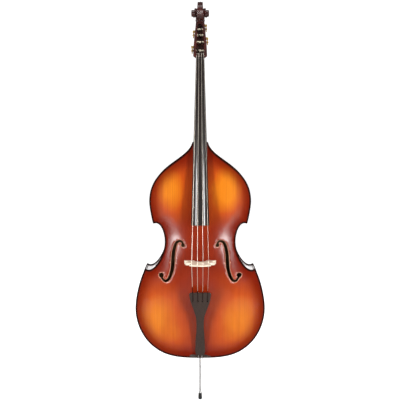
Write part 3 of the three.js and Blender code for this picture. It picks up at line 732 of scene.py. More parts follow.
def border(faces: Sequence[Sequence[int]]) -> list[tuple[int, int]]:
    """Gives the edges that only one triangle uses.

    Args:
        faces: The triangles.

    Returns:
        Both ends of each such edge, the lower index first.
    """
    used: dict[tuple[int, int], int] = {}
    for a, b, c in faces:
        for pair in ((a, b), (b, c), (c, a)):
            edge = tuple(sorted(pair))
            used[edge] = used.get(edge, 0) + 1
    return [edge for edge, times in used.items() if times == 1]


class MeshBuilder:
    """Gathers points in millimetres and faces, and makes one object in metres from them."""

    def __init__(self) -> None:
        """Starts empty."""
        self.points: list[tuple[float, ...]] = []
        self.faces: list[tuple[int, ...]] = []
        self.finishes: list[int] = []

    def add(self, points: Sequence[Sequence[float]], faces: Sequence[Sequence[int]], finish: int = 0) -> None:
        """Adds faces over their own points.

        Args:
            points: The points.
            faces: Indices into those points.
            finish: Which of the piece's materials they take.
        """
        base = len(self.points)
        self.points.extend(tuple(map(float, p)) for p in points)
        self.faces.extend(tuple(int(i) + base for i in f) for f in faces)
        self.finishes.extend([finish] * len(faces))

    def loft(self, rings: Sequence[Section], finish: int = 0, closed: bool = False) -> None:
        """Skins rings of equal count, with caps unless the rings close on themselves.

        Args:
            rings: The rings, in order.
            finish: Which of the piece's materials they take.
            closed: Whether the last ring joins the first.
        """
        count = len(rings[0])
        faces: list[tuple[int, ...]] = []
        for r in range(len(rings) if closed else len(rings) - 1):
            a, b = r * count, (r + 1) % len(rings) * count
            faces += [(a + i, a + (i + 1) % count, b + (i + 1) % count, b + i) for i in range(count)]
        if not closed:
            last = (len(rings) - 1) * count
            faces += [tuple(reversed(range(count))), tuple(range(last, last + count))]
        self.add([p for ring in rings for p in ring], faces, finish)

    def revolve(
        self, profile: Section, centre: Sequence[float], axis: Axis, finish: int = 0, segments: int = 48
    ) -> None:
        """Turns a closed profile of (radius, place along the axis) about an axis.

        Args:
            profile: The profile's corners.
            centre: Where the axis has its zero.
            axis: The axis.
            finish: Which of the piece's materials it takes.
            segments: Steps round the turn.
        """
        rings = []
        for s in range(segments):
            c, n = math.cos(2 * math.pi * s / segments), math.sin(2 * math.pi * s / segments)
            turned = {
                Axis.X: [(a, r * c, r * n) for r, a in profile],
                Axis.Y: [(r * n, a, r * c) for r, a in profile],
                Axis.Z: [(r * c, r * n, a) for r, a in profile],
            }[axis]
            rings.append([tuple(p + q for p, q in zip(point, centre)) for point in turned])
        self.loft(rings, finish, True)

    def tube(self, path: Section, radius: float, finish: int = 0, sides: int = 12) -> None:
        """Sweeps a circle along a path without twisting it.

        Args:
            path: The points along its middle.
            radius: The circle's radius.
            finish: Which of the piece's materials it takes.
            sides: Steps round the circle.
        """
        p = np.array(path, float)
        tangent = np.gradient(p, axis=0)
        tangent /= np.linalg.norm(tangent, axis=1)[:, None]
        normal = np.cross(tangent[0], (1.0, 0.1, 0.0))
        rings = []
        for point, way in zip(p, tangent):
            normal = normal - way * normal.dot(way)
            normal /= np.linalg.norm(normal)
            other = np.cross(way, normal)
            turn = [2 * math.pi * s / sides for s in range(sides)]
            rings.append([point + radius * (math.cos(a) * normal + math.sin(a) * other) for a in turn])
        self.loft(rings, finish)

    def slab(
        self,
        outline: Sequence[Point2],
        place: Callable[[float, float, int], Sequence[float]],
        finish: int = 0,
    ) -> None:
        """Fills a flat outline and gives it two faces and a wall.

        Args:
            outline: The closed outline.
            place: Turns a point of the outline and a face, 0 or 1, into a place.
            finish: Which of the piece's materials it takes.
        """
        count = len(outline)
        points = [place(a, b, face) for face in (0, 1) for a, b in outline]
        faces = [tuple(reversed(range(count))), tuple(range(count, 2 * count))]
        faces += [(i, (i + 1) % count, count + (i + 1) % count, count + i) for i in range(count)]
        self.add(points, faces, finish)

    def build(
        self,
        name: str,
        materials: Sequence[Material],
        body: str,
        slot: str,
        replaces: Sequence[str] = (),
        sharp: float = 38.0,
        bevel: float = 0.0,
        remesh: float = 0.0,
    ) -> bpy.types.Object:
        """Makes the object, sets it on its body and reports it.

        Args:
            name: The piece's name.
            materials: Its finishes.
            body: The frame's body that it rides on.
            slot: The record's material slot; not used.
            replaces: The frame's nodes that it stands for.
            sharp: Angle in degrees above which an edge stays crisp.
            bevel: Width of rounding along crisp edges, in millimetres.
            remesh: Cell size for one clean skin over overlapping forms, in millimetres.

        Returns:
            The object.
        """
        mesh = bpy.data.meshes.new(name)
        mesh.from_pydata([tuple(c * MM for c in p) for p in self.points], [], self.faces)
        mesh.polygons.foreach_set("material_index", self.finishes)
        tidy = bmesh.new()
        tidy.from_mesh(mesh)
        bmesh.ops.remove_doubles(tidy, verts=tidy.verts, dist=WELD)
        bmesh.ops.recalc_face_normals(tidy, faces=tidy.faces)
        tidy.to_mesh(mesh)
        tidy.free()
        for material in materials:
            mesh.materials.append(material)
        piece = bpy.data.objects.new(name, mesh)
        bpy.context.scene.collection.objects.link(piece)
        if remesh:
            skin = piece.modifiers.new("skin", "REMESH")
            skin.mode, skin.voxel_size, skin.use_smooth_shade = "VOXEL", remesh * MM, True
            relax = piece.modifiers.new("relax", "SMOOTH")
            relax.factor, relax.iterations = 0.5, 6
        if bevel:
            round_off = piece.modifiers.new("round_off", "BEVEL")
            round_off.width, round_off.segments, round_off.limit_method = bevel * MM, 3, "ANGLE"
            round_off.angle_limit = math.radians(sharp)
            round_off.harden_normals = False
        if bevel or remesh:
            piece = self.applied(piece)
        piece.data.polygons.foreach_set("use_smooth", [True] * len(piece.data.polygons))
        piece.data.set_sharp_from_angle(angle=math.radians(sharp))
        piece.data.update()
        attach(piece, body)
        if replaces:
            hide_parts(*replaces)
        LOG.info("%s: %d faces on %s", name, len(piece.data.polygons), body)
        return piece

    @staticmethod
    def applied(piece: bpy.types.Object) -> bpy.types.Object:
        """Bakes an object's modifiers into its mesh.

        Args:
            piece: The object.

        Returns:
            The same object, with its new mesh.
        """
        bpy.context.view_layer.update()
        graph = bpy.context.evaluated_depsgraph_get()
        mesh = bpy.data.meshes.new_from_object(piece.evaluated_get(graph))
        piece.modifiers.clear()
        materials = list(piece.data.materials)
        piece.data = mesh
        mesh.materials.clear()
        for material in materials:
            mesh.materials.append(material)
        return piece


def paint(piece: bpy.types.Object, name: str, value: Callable[[np.ndarray], np.ndarray]) -> None:
    """Writes a value at every point of a piece, from its place in millimetres.

    Args:
        piece: The piece.
        name: Name of the attribute.
        value: Turns places into values.
    """
    places = np.empty(len(piece.data.vertices) * 3)
    piece.data.vertices.foreach_get("co", places)
    attribute = piece.data.attributes.new(name, "FLOAT", "POINT")
    attribute.data.foreach_set("value", value(places.reshape(-1, 3) / MM).astype(np.float32))


def frame_nodes() -> dict[str, bpy.types.Object]:
    """Gives the frame's nodes by name."""
    return FRAME["nodes"]


def dress(node: bpy.types.Object, material: Material) -> None:
    """Gives a carried-over node one finish.

    Args:
        node: The node's object.
        material: The finish.
    """
    for slot in node.material_slots:
        slot.material = material
    if not node.material_slots:
        node.data.materials.append(material)


# --------------------------------------------------------------------------------------------------
# Body
# --------------------------------------------------------------------------------------------------


@dataclass(frozen=True)
class BodyShape:
    """The outline and arching that the plates, ribs and bridge share, in millimetres."""

    bottom: float = 245.3
    top: float = 1357.0
    lower_bout: Point2 = (333.0, 506.0)
    waist: Point2 = (181.0, 852.0)
    upper_bout: Point2 = (260.0, 1056.0)
    lower: tuple = (
        ((0, 245.3), (80, 245.3), (161, 247), (224, 292)),
        ((224, 292), (292, 338), (333, 421), (333, 506)),
        ((333, 506), (333, 564), (311, 659), (281, 713)),
    )
    centre: tuple = (
        ((281, 713), (246, 678), (181, 772), (181, 852)),
        ((181, 852), (181, 894), (201, 961), (240, 942)),
    )
    upper: tuple = (
        ((240, 942), (247, 962), (260, 1031), (260, 1056)),
        ((260, 1056), (260, 1241), (63, 1260), (41, 1357)),
    )
    blunt: float = 3.5
    step: float = 4.0
    top_flat: float = 36.0
    rib_depth: float = 95.0
    taper: float = 38.0
    taper_start: float = 1000.0
    taper_power: float = 1.6
    plate_thickness: float = 6.0
    top_crown: float = 30.0
    back_crown: float = 24.0
    hollow_share: float = 0.9
    rise_power: float = 3.2
    cross_power: float = 1.5

    @property
    def middle(self) -> float:
        """Gives the height halfway up the body."""
        return (self.bottom + self.top) / 2

    @property
    def half_length(self) -> float:
        """Gives half of the body's length."""
        return (self.top - self.bottom) / 2

    def run(self, curves: Sequence[Sequence[Point2]], step: float) -> list[Point2]:
        """Samples a run of curves about every step millimetres.

        Args:
            curves: Each curve's four control points.
            step: About how far apart the points lie.

        Returns:
            The points along the curves, with their last point.
        """
        points: list[Point2] = []
        for corners in curves:
            length = sum(math.dist(a, b) for a, b in zip(corners, corners[1:]))
            points += bezier(corners, max(int(length / step), 8))
        return points + [curves[-1][-1]]

    def half(self) -> np.ndarray:
        """Gives the treble half of the outline, from the bottom to the top.

        Returns:
            The points of that half.
        """
        parts = [
            trimmed(self.run(self.lower, self.step), 0, self.blunt),
            trimmed(self.run(self.centre, self.step), self.blunt, self.blunt),
            trimmed(self.run(self.upper, self.step), self.blunt, 0),
        ]
        return np.vstack(parts)

    def outline(self, button: float = 0.0) -> np.ndarray:
        """Gives the closed outline, with a round button at the top if its radius is given.

        Args:
            button: Radius of the button, or 0 for none.

        Returns:
            The closed outline.
        """
        half = self.half()
        top = half[-1, 1]
        if button:
            arc = [(button * math.cos(a), top + button * math.sin(a)) for a in np.linspace(0, math.pi, 28)]
        else:
            arc = [(x, top) for x in np.linspace(self.top_flat, -self.top_flat, 19)]
        mirrored = half[::-1] * (-1, 1)
        return np.vstack([half, arc, mirrored[:-1]])

    def arch_half_width(self, z: np.ndarray) -> np.ndarray:
        """Gives the half width that the arch spans at each height.

        Args:
            z: The heights.

        Returns:
            One half width for each height.
        """
        lower, lower_z = self.lower_bout
        waist, waist_z = self.waist
        upper, upper_z = self.upper_bout
        low = lower * np.sqrt(np.maximum(1 - ((lower_z - z) / (lower_z - self.bottom)) ** 2, 1e-6))
        mid = lower + (waist - lower) * eased(z, lower_z, waist_z)
        high = waist + (upper - waist) * eased(z, waist_z, upper_z)
        top = upper * np.sqrt(np.maximum(1 - ((z - upper_z) / (self.top - upper_z)) ** 2, 1e-6))
        return np.where(z < lower_z, low, np.where(z < waist_z, mid, np.where(z < upper_z, high, top)))

    def arch(self, x: np.ndarray, z: np.ndarray) -> np.ndarray:
        """Gives the arching from 0 at the edge to 1 at the middle.

        Args:
            x: Places across the body.
            z: Heights of those places.

        Returns:
            The share of the full rise at each place.
        """
        x, z = np.asarray(x, float), np.asarray(z, float)
        across = np.abs(x) / self.arch_half_width(z)
        up = np.abs(z - self.middle) / self.half_length
        lengthwise = 1 - np.minimum(up, 1) ** self.rise_power
        rise = lengthwise * np.maximum(1 - across**2, 0) ** self.cross_power
        return np.where((across < 1) & (up < 1), rise, 0.0)

    def rib_back(self, z: np.ndarray) -> np.ndarray:
        """Gives the y of the ribs' back edge, which tapers towards the neck."""
        above = np.maximum(np.asarray(z, float) - self.taper_start, 0) / (self.top - self.taper_start)
        return self.rib_depth - self.taper * above**self.taper_power

    def top_outer(self, x: np.ndarray, z: np.ndarray) -> np.ndarray:
        """Gives the y of the top plate's outside."""
        return -(self.rib_depth + self.plate_thickness + self.top_crown * self.arch(x, z))

    def top_inner(self, x: np.ndarray, z: np.ndarray) -> np.ndarray:
        """Gives the y of the top plate's inside."""
        return -(self.rib_depth + self.top_crown * self.hollow_share * self.arch(x, z))

    def back_outer(self, x: np.ndarray, z: np.ndarray) -> np.ndarray:
        """Gives the y of the back plate's outside."""
        return self.rib_back(z) + self.plate_thickness + self.back_crown * self.arch(x, z)

    def back_inner(self, x: np.ndarray, z: np.ndarray) -> np.ndarray:
        """Gives the y of the back plate's inside."""
        return self.rib_back(z) + self.back_crown * self.hollow_share * self.arch(x, z)


@dataclass
class FHole:
    """One f-shaped sound hole, in millimetres."""

    side: Side
    upper_eye: tuple[float, float, float] = (88, 835, 10)
    lower_eye: tuple[float, float, float] = (200, 679, 13)
    stem: tuple = (
        (88, 841), (95, 853), (107, 855), (121, 846), (131, 822), (137.5, 785), (139.5, 746),
        (144, 707), (155, 672), (168, 653), (182, 650), (193, 661), (200, 673),
    )
    end_width: float = 5.2
    swell: float = 4.3
    nick: float = 5.0
    nick_half: float = 3.2
    nick_overlap: float = 1.5

    def loops(self) -> list[np.ndarray]:
        """Gives the closed loops whose union is the hole.

        Returns:
            The stem, the two eyes and the two nicks.
        """
        line = np.array(spline(self.stem, 7))
        share = np.linspace(0, 1, len(line))
        width = (self.end_width + self.swell * np.sin(math.pi * share) ** 2)[:, None]
        one = inset(line, 1.0) - line
        stem = np.vstack([line + one * width, (line - one * width)[::-1]])
        loops = [stem]
        for x, z, radius in (self.upper_eye, self.lower_eye):
            angles = np.linspace(0, 2 * math.pi, 36, endpoint=False)
            loops.append(np.column_stack([x + radius * np.cos(angles), z + radius * np.sin(angles)]))
        middle = len(line) // 2
        for sign in (-1, 1):
            base = line[middle] + one[middle] * sign * (width[middle] - self.nick_overlap)
            along = line[middle + 1] - line[middle - 1]
            along /= np.linalg.norm(along)
            tip = line[middle] + one[middle] * sign * (width[middle] + self.nick)
            loops.append(np.array([base - along * self.nick_half, base + along * self.nick_half, tip]))
        return [loop * (self.side.value, 1) for loop in loops]


@dataclass
class Plate:
    """One arched plate, cut from its outline with a rounded edge and a shallow channel inside it."""

    shape: BodyShape
    face: Face
    outline: np.ndarray
    holes: Sequence[np.ndarray] = ()
    rounding: float = 3.0
    under_rounding: float = 2.0
    channel_depth: float = 0.5
    channel_reach: float = 24.0
    grid: float = 9.0
    grid_clear: float = 4.0
    # Width of the f-holes' chamfer, whose pale faces partly carry a painted highlight.
    chamfer: float = 2.4
    lip_drop: float = 0.8
    dark_rim_and_shadow_margin: float = 0.3
    bare_from: float = 8.0
    ring_insets: tuple = (0.35, 1.1, 2.1, 3.2, 6.5, 11.0, 17.0)

    def flat(self) -> tuple[np.ndarray, np.ndarray]:
        """Triangulates the plate lying flat.

        Returns:
            The flat points, and the triangles that are kept.
        """
        spare = []
        closed = np.vstack([self.outline[-1:], self.outline, self.outline[:1]])
        for distance in self.ring_insets:
            ring = inset(closed, distance)[1:-1]
            spare.append(ring[distance_to(self.outline, ring) > distance - 0.2])
        low, high = self.outline.min(0), self.outline.max(0)
        xs = np.arange(low[0], high[0], self.grid)
        zs = np.arange(low[1], high[1], self.grid)
        grid = np.array([(x + (j % 2) * self.grid / 2, z) for j, z in enumerate(zs) for x in xs])
        spare.append(grid[distance_to(self.outline, grid) > self.ring_insets[-1] + self.grid_clear])
        extra = np.vstack(spare)
        extra = extra[inside(self.outline, extra)]
        for loop in self.holes:
            away = inset(np.vstack([loop[-1:], loop, loop[:1]]), self.chamfer)[1:-1]
            near = inset(np.vstack([loop[-1:], loop, loop[:1]]), -self.chamfer)[1:-1]
            extra = np.vstack([extra, away, near])
        for loop in self.holes:
            extra = extra[(distance_to(loop, extra) > self.chamfer - 0.12) & ~inside(loop, extra)]
        return triangulated(self.outline, self.holes, extra)

    def build(
        self, name: str, materials: Sequence[Material], slot: str, node: str
    ) -> bpy.types.Object:
        """Makes the plate.

        Args:
            name: The piece's name.
            materials: The varnish, the bare inside, the dark rim, partly a painted shadow line, and the cut
                edge of the holes, pale partly as a painted highlight.
            slot: The record's material slot.
            node: The node that it stands for.

        Returns:
            The plate.
        """
        flat, faces = self.flat()
        x, z = flat[:, 0], flat[:, 1]
        sign = self.face.value
        edge = distance_to(self.outline, flat)
        shape = self.shape
        outer = shape.top_outer(x, z) if self.face is Face.TOP else shape.back_outer(x, z)
        inner = shape.top_inner(x, z) if self.face is Face.TOP else shape.back_inner(x, z)
        cut = np.maximum(self.rounding - edge, 0)
        outer = outer - sign * (self.rounding - np.sqrt(self.rounding**2 - cut**2))
        share = np.clip((edge - self.rounding) / (self.channel_reach - self.rounding), 0, 1)
        outer = outer - sign * self.channel_depth * np.sin(math.pi * share) ** 2
        count = len(flat)
        lip = np.zeros(count, bool)
        if self.holes:
            lip = np.min([distance_to(loop, flat) for loop in self.holes], axis=0) < 0.05
            outer = np.where(lip, outer - sign * self.chamfer * self.lip_drop, outer)
        cut = np.maximum(self.under_rounding - edge, 0)
        inner = inner + sign * (self.under_rounding - np.sqrt(self.under_rounding**2 - cut**2))
        builder = MeshBuilder()
        points = np.vstack([np.column_stack([x, outer, z]), np.column_stack([x, inner, z])])
        builder.add(points, np.vstack([faces, faces[:, ::-1] + count]))
        # Faces on the rounded rim take the near-black rim finish: partly the dark edge of the finish, partly
        # a painted shadow line.
        dark = [edge[f].max() < self.rounding + self.dark_rim_and_shadow_margin for f in faces]
        bare = [edge[f].min() > self.bare_from for f in faces]
        # Faces at the f-holes' lip take the pale cut-edge finish, partly a painted highlight.
        builder.finishes = [2 if d else 3 if lip[f].any() else 0 for f, d in zip(faces, dark)]
        builder.finishes += [2 if d else 1 if b else 0 for b, d in zip(bare, dark)]
        walls = [(a, b, b + count, a + count) for a, b in border(faces)]
        rim = edge < 0.01
        builder.faces += [tuple(map(int, w)) for w in walls]
        builder.finishes += [2 if rim[w[0]] and rim[w[1]] else 3 for w in walls]
        piece = builder.build(name, materials, INSTRUMENT, slot, (node,), 50.0)
        paint(piece, "edge", self.rim_distance)
        return piece

    def rim_distance(self, places: np.ndarray) -> np.ndarray:
        """Gives how far in metres places in millimetres lie from the plate's rim."""
        return distance_to(self.outline, places[:, [0, 2]]) * MM


@dataclass
class Glow:
    """One soft amber lobe of the sunburst, in millimetres."""

    x: float
    z: float
    wide: float
    tall: float
    strength: float

    def at(self, x: np.ndarray, z: np.ndarray) -> np.ndarray:
        """Gives the glow at places."""
        across, up = (x - self.x) / self.wide, (z - self.z) / self.tall
        return self.strength * np.exp(-(across**2 + up**2) / 2)


@dataclass
class Body:
    """Plates, ribs, purfling and the bare wood inside."""

    palette: Palette
    shape: BodyShape = field(default_factory=BodyShape)
    base_tone: float = 0.15
    glows: tuple = (
        Glow(-155, 1112, 48, 88, 0.74),
        Glow(136, 1115, 54, 92, 0.83),
        Glow(0, 1125, 200, 130, 0.2),
        Glow(-215, 460, 92, 112, 0.7),
        Glow(205, 468, 90, 116, 0.74),
        Glow(-130, 345, 70, 60, 0.2),
        Glow(130, 345, 70, 60, 0.2),
    )
    rib_inset: float = 5.0
    rib_thickness: float = 2.5
    rib_gap: float = 0.3
    rib_ends: tuple = ((0.15, 6.9), (10.4, 10.4), (6.9, 9.0))
    purfling_inset: float = 9.0
    purfling_radius: float = 0.75
    purfling_proud: float = 0.55
    button_radius: float = 27.0
    inner_nodes: tuple = ("lining_", "corner_block", "neck_block", "end_block", "bass_bar", "sound_post")

    def build(self) -> None:
        """Builds the body's pieces."""
        self.plates()
        for side in Side:
            self.ribs(side)
        self.purfling()
        for name, node in frame_nodes().items():
            if name.startswith(self.inner_nodes):
                dress(node, self.palette.inner)

    def plates(self) -> None:
        """Builds the top and back plates."""
        p = self.palette
        holes = [loop for side in Side for loop in FHole(side).loops()]
        outline = self.shape.outline()
        top = Plate(self.shape, Face.TOP, outline, holes).build(
            "top_plate_varnished", [p.sunburst, p.bare, p.rim, p.cut_edge_and_highlight], "varnished_spruce", "top_plate"
        )
        paint(top, "burst", self.burst)
        outline = self.shape.outline(self.button_radius)
        Plate(self.shape, Face.BACK, outline, ()).build(
            "back_plate_varnished", [p.back, p.bare, p.rim], "varnished_maple", "back_plate"
        )

    def burst(self, places: np.ndarray) -> np.ndarray:
        """Gives the sunburst's tone from dark red, 0, to amber, 1.

        Args:
            places: Places on the plate, in millimetres.

        Returns:
            One tone for each place.
        """
        x, z = places[:, 0], places[:, 2]
        tone = np.full(len(x), self.base_tone)
        for glow in self.glows:
            tone += glow.at(x, z)
        inside_face = places[:, 1] > self.shape.top_outer(x, z) + 4.0
        return np.where(inside_face, 0.0, tone)

    def ribs(self, side: Side) -> None:
        """Builds the three ribs of one side.

        Args:
            side: Which side.
        """
        front = self.rib_gap - self.shape.rib_depth
        runs = (self.shape.lower, self.shape.centre, self.shape.upper)
        for name, curves, (start, end) in zip(("lower", "centre", "upper"), runs, self.rib_ends):
            path = trimmed(self.shape.run(curves, 3.0), start, end)
            outside, inner = inset(path, self.rib_inset), inset(path, self.rib_inset + self.rib_thickness)
            rings = []
            for (x0, z0), (x1, z1) in zip(outside, inner):
                back0, back1 = (float(self.shape.rib_back(z)) - self.rib_gap for z in (z0, z1))
                ring = [(side.value * x0, front + s * (back0 - front), z0) for s in np.linspace(0, 1, 9)]
                rings.append([*ring, (side.value * x1, back1, z1), (side.value * x1, front, z1)])
            builder = MeshBuilder()
            builder.loft(rings)
            label = f"rib_{name}_{side.name.lower()}"
            piece = builder.build(
                f"{label}_varnished", [self.palette.ribs], INSTRUMENT, "varnished_maple", (label,)
            )
            paint(piece, "edge", self.rib_edge)

    def rib_edge(self, places: np.ndarray) -> np.ndarray:
        """Gives how far places on a rib lie from the nearer plate, which places the painted shade under the
        plates' overhang.

        Args:
            places: Places on the rib, in millimetres.

        Returns:
            One distance in metres for each place.
        """
        front = places[:, 1] + self.shape.rib_depth + 1
        back = self.shape.rib_back(places[:, 2]) + 1 - places[:, 1]
        return np.minimum(front, back) * MM

    def purfling(self) -> None:
        """Lays the thin dark line round each plate, standing a hair proud of the varnish."""
        for face, button in ((Face.TOP, 0.0), (Face.BACK, self.button_radius)):
            half = self.shape.half()
            closed = np.vstack([half, half[::-1] * (-1, 1)])
            line = inset(np.vstack([closed[-2:-1], closed, closed[1:2]]), self.purfling_inset)[1:-1]
            line = line[distance_to(closed, line) > self.purfling_inset - 0.3]
            line = line[np.concatenate([[True], np.linalg.norm(np.diff(line, axis=0), axis=1) > 0.8])]
            outer = self.shape.top_outer if face is Face.TOP else self.shape.back_outer
            share = (self.purfling_inset - Plate.rounding) / (Plate.channel_reach - Plate.rounding)
            sink = Plate.channel_depth * math.sin(math.pi * share) ** 2
            y = outer(line[:, 0], line[:, 1]) - face.value * (sink + self.purfling_proud)
            builder = MeshBuilder()
            path = np.column_stack([line[:, 0], y, line[:, 1]])
            builder.tube(np.vstack([path, path[:1]]), self.purfling_radius, sides=6)
            label = f"purfling_{face.name.lower()}"
            slot = "varnished_spruce" if face is Face.TOP else "varnished_maple"
            builder.build(label, [self.palette.silk], INSTRUMENT, slot)


# --------------------------------------------------------------------------------------------------
# Neck, head, fingerboard
# --------------------------------------------------------------------------------------------------


@dataclass(frozen=True)
class FingerboardShape:
    """The fingerboard's sizes at its lower end and at the nut, in millimetres."""

    z: tuple[float, float] = (947.0, 1784.7)
    half: tuple[float, float] = (45.5, 22.0)
    crown: tuple[float, float] = (-235.0, -51.5)
    under: tuple[float, float] = (-209.0, -38.5)
    sag: tuple[float, float] = (14.0, 5.0)

    def at(self, z: float, what: tuple[float, float]) -> float:
        """Gives one of its sizes at a height."""
        return blend(what[0], what[1], (z - self.z[0]) / (self.z[1] - self.z[0]))


@dataclass
class Fingerboard:
    """The cambered ebony fingerboard."""

    palette: Palette
    shape: FingerboardShape = field(default_factory=FingerboardShape)
    corner: float = 1.2
    end_rounding: float = 2.0

    def section(self, z: float, shrink: float = 0.0) -> list[tuple[float, float, float]]:
        """Gives one cross-section, drawn in by shrink for the rounded end.

        Args:
            z: Its height.
            shrink: How far it is drawn in.

        Returns:
            The section's corners.
        """
        s = self.shape
        half, crown = s.at(z, s.half) - shrink, s.at(z, s.crown) + shrink
        under, sag = s.at(z, s.under) - shrink, s.at(z, s.sag)
        camber = [(half * a, crown + sag * a * a) for a in np.linspace(-0.975, 0.975, 25)]
        right = [(half, crown + sag + self.corner), (half, under - self.corner), (half - self.corner, under)]
        left = [(-x, y) for x, y in reversed(right)]
        return [(x, y, z) for x, y in [*camber, *right, *left]]

    def build(self) -> None:
        """Builds the fingerboard, and dresses the nut."""
        low, high = self.shape.z
        r = self.end_rounding
        turns = (1.57, 1.1, 0.7, 0.35, 0)
        rings = [self.section(low + r * (1 - math.sin(a)), r * (1 - math.cos(a))) for a in turns]
        rings += [self.section(z) for z in np.linspace(low + r + 1, high, 16)]
        builder = MeshBuilder()
        builder.loft(rings)
        finishes = [self.palette.fingerboard]
        builder.build("fingerboard_polished", finishes, INSTRUMENT, "ebony", ("fingerboard",), 50)
        dress(frame_nodes()["nut"], self.palette.fingerboard)


@dataclass(frozen=True)
class PegboxShape:
    """The pegbox's stations as (height, half width, depth), in millimetres, and its channel."""

    stations: tuple = (
        (1786, 23, 36), (1790, 30, 40), (1796, 36, 44), (1830, 35, 56), (1870, 32.5, 62), (1932, 26.3, 58),
        (1972, 22.5, 50), (1979, 23.2, 50), (1981.5, 25.5, 49), (1984, 23.4, 48), (1992, 23.5, 46),
        (1998, 22.5, 40),
    )
    front_low: float = -43.0
    front_slope: float = 0.32
    channel: tuple = (
        (1797.5, 21, 0.2), (1798.5, 21, 26), (1812, 20, 36), (1860, 18.5, 37), (1920, 15.5, 36),
        (1964, 13, 33), (1966, 13, 0.2),
    )

    def size(self, z: float, column: int) -> float:
        """Gives the half width (1) or the depth (2) at a height."""
        heights = [s[0] for s in self.stations]
        return float(np.interp(z, heights, [s[column] for s in self.stations]))

    def front(self, z: float) -> float:
        """Gives the y of the front face at a height."""
        return self.front_low + self.front_slope * (z - self.stations[0][0])

    def channel_size(self, z: float, column: int) -> float:
        """Gives the channel's half width (1) or depth (2) at a height.

        Args:
            z: The height.
            column: Which size.

        Returns:
            The size there, next to nothing deep beyond its ends.
        """
        heights = [s[0] for s in self.channel]
        if not heights[0] <= z <= heights[-1]:
            return 0.2 if column == 2 else self.channel[0 if z < heights[0] else -1][1]
        return float(np.interp(z, heights, [s[column] for s in self.channel]))


@dataclass
class Scroll:
    """The carved volute: a fluted ribbon that winds forward from the pegbox's back, widening to its eyes."""

    centre_y: float = 30.0
    centre_z: float = 2019.0
    start_turn: float = -0.44
    end_turn: float = 1.95
    eye_radius: float = 17.5
    eye_half: float = 47.0
    flute: float = 2.4
    cove: float = 5.0

    def radius(self, turn: float) -> float:
        """Gives the ribbon's outer radius.

        Args:
            turn: Turns from the crest.

        Returns:
            The radius in millimetres.
        """
        if turn < 0:
            turns, radii = (-0.45, -0.36, -0.28, -0.2, -0.1, 0), (46, 51.5, 57, 59.3, 60.6, 61)
            return float(np.interp(turn, turns, radii))
        return 16 + 45 * math.exp(-1.35 * turn)

    def half(self, turn: float) -> float:
        """Gives the ribbon's half width.

        Args:
            turn: Turns from the crest.

        Returns:
            The half width in millimetres.
        """
        if turn < 0:
            return float(np.interp(turn, (-0.45, -0.3, -0.15, 0), (23, 20, 15, 12.8)))
        return 12.8 + 15.6 * turn

    def ring(self, turn: float) -> list[tuple[float, float, float]]:
        """Gives the ribbon's cross-section at a turn.

        Args:
            turn: Turns from the crest.

        Returns:
            The section's corners.
        """
        outer, half = self.radius(turn), self.half(turn)
        inner = min(self.radius(turn + 1) - 2, outer - 7)
        band = outer - max(self.radius(turn + 1), outer - 30)
        across = np.linspace(-1, 1, 25)
        flutes = self.flute * np.sin(math.pi * np.abs(across)) ** 2 + np.where(np.abs(across) == 1, 0.9, 0)
        points = [(half * a, outer - flute) for a, flute in zip(across, flutes)]
        wall = half - self.cove
        side = [(half, outer - 2.2), (half - 0.5 * self.cove, outer - band * 0.3)]
        side += [(wall, outer - band * 0.65), (wall, outer - band), (wall, inner)]
        points += side + [(-x, r) for x, r in reversed(side)]
        angle = 2 * math.pi * turn
        y, z = math.sin(angle), math.cos(angle)
        return [(x, self.centre_y - r * y, self.centre_z + r * z) for x, r in points]

    def add_to(self, builder: MeshBuilder) -> None:
        """Adds the ribbon and its eyes.

        Args:
            builder: The mesh that they are added to.
        """
        turns = np.linspace(self.start_turn, self.end_turn, 150)
        builder.loft([self.ring(float(t)) for t in turns])
        e, h = self.eye_radius, self.eye_half
        dome = [(e, h - 5), (e - 0.8, h - 2.4), (e - 3, h - 1), (e - 6, h - 0.3), (e - 11, h), (0, h)]
        profile = [(0, -h)] + [(r, -x) for r, x in reversed(dome[:-1])] + dome
        builder.revolve(profile, (0, self.centre_y, self.centre_z), Axis.X)


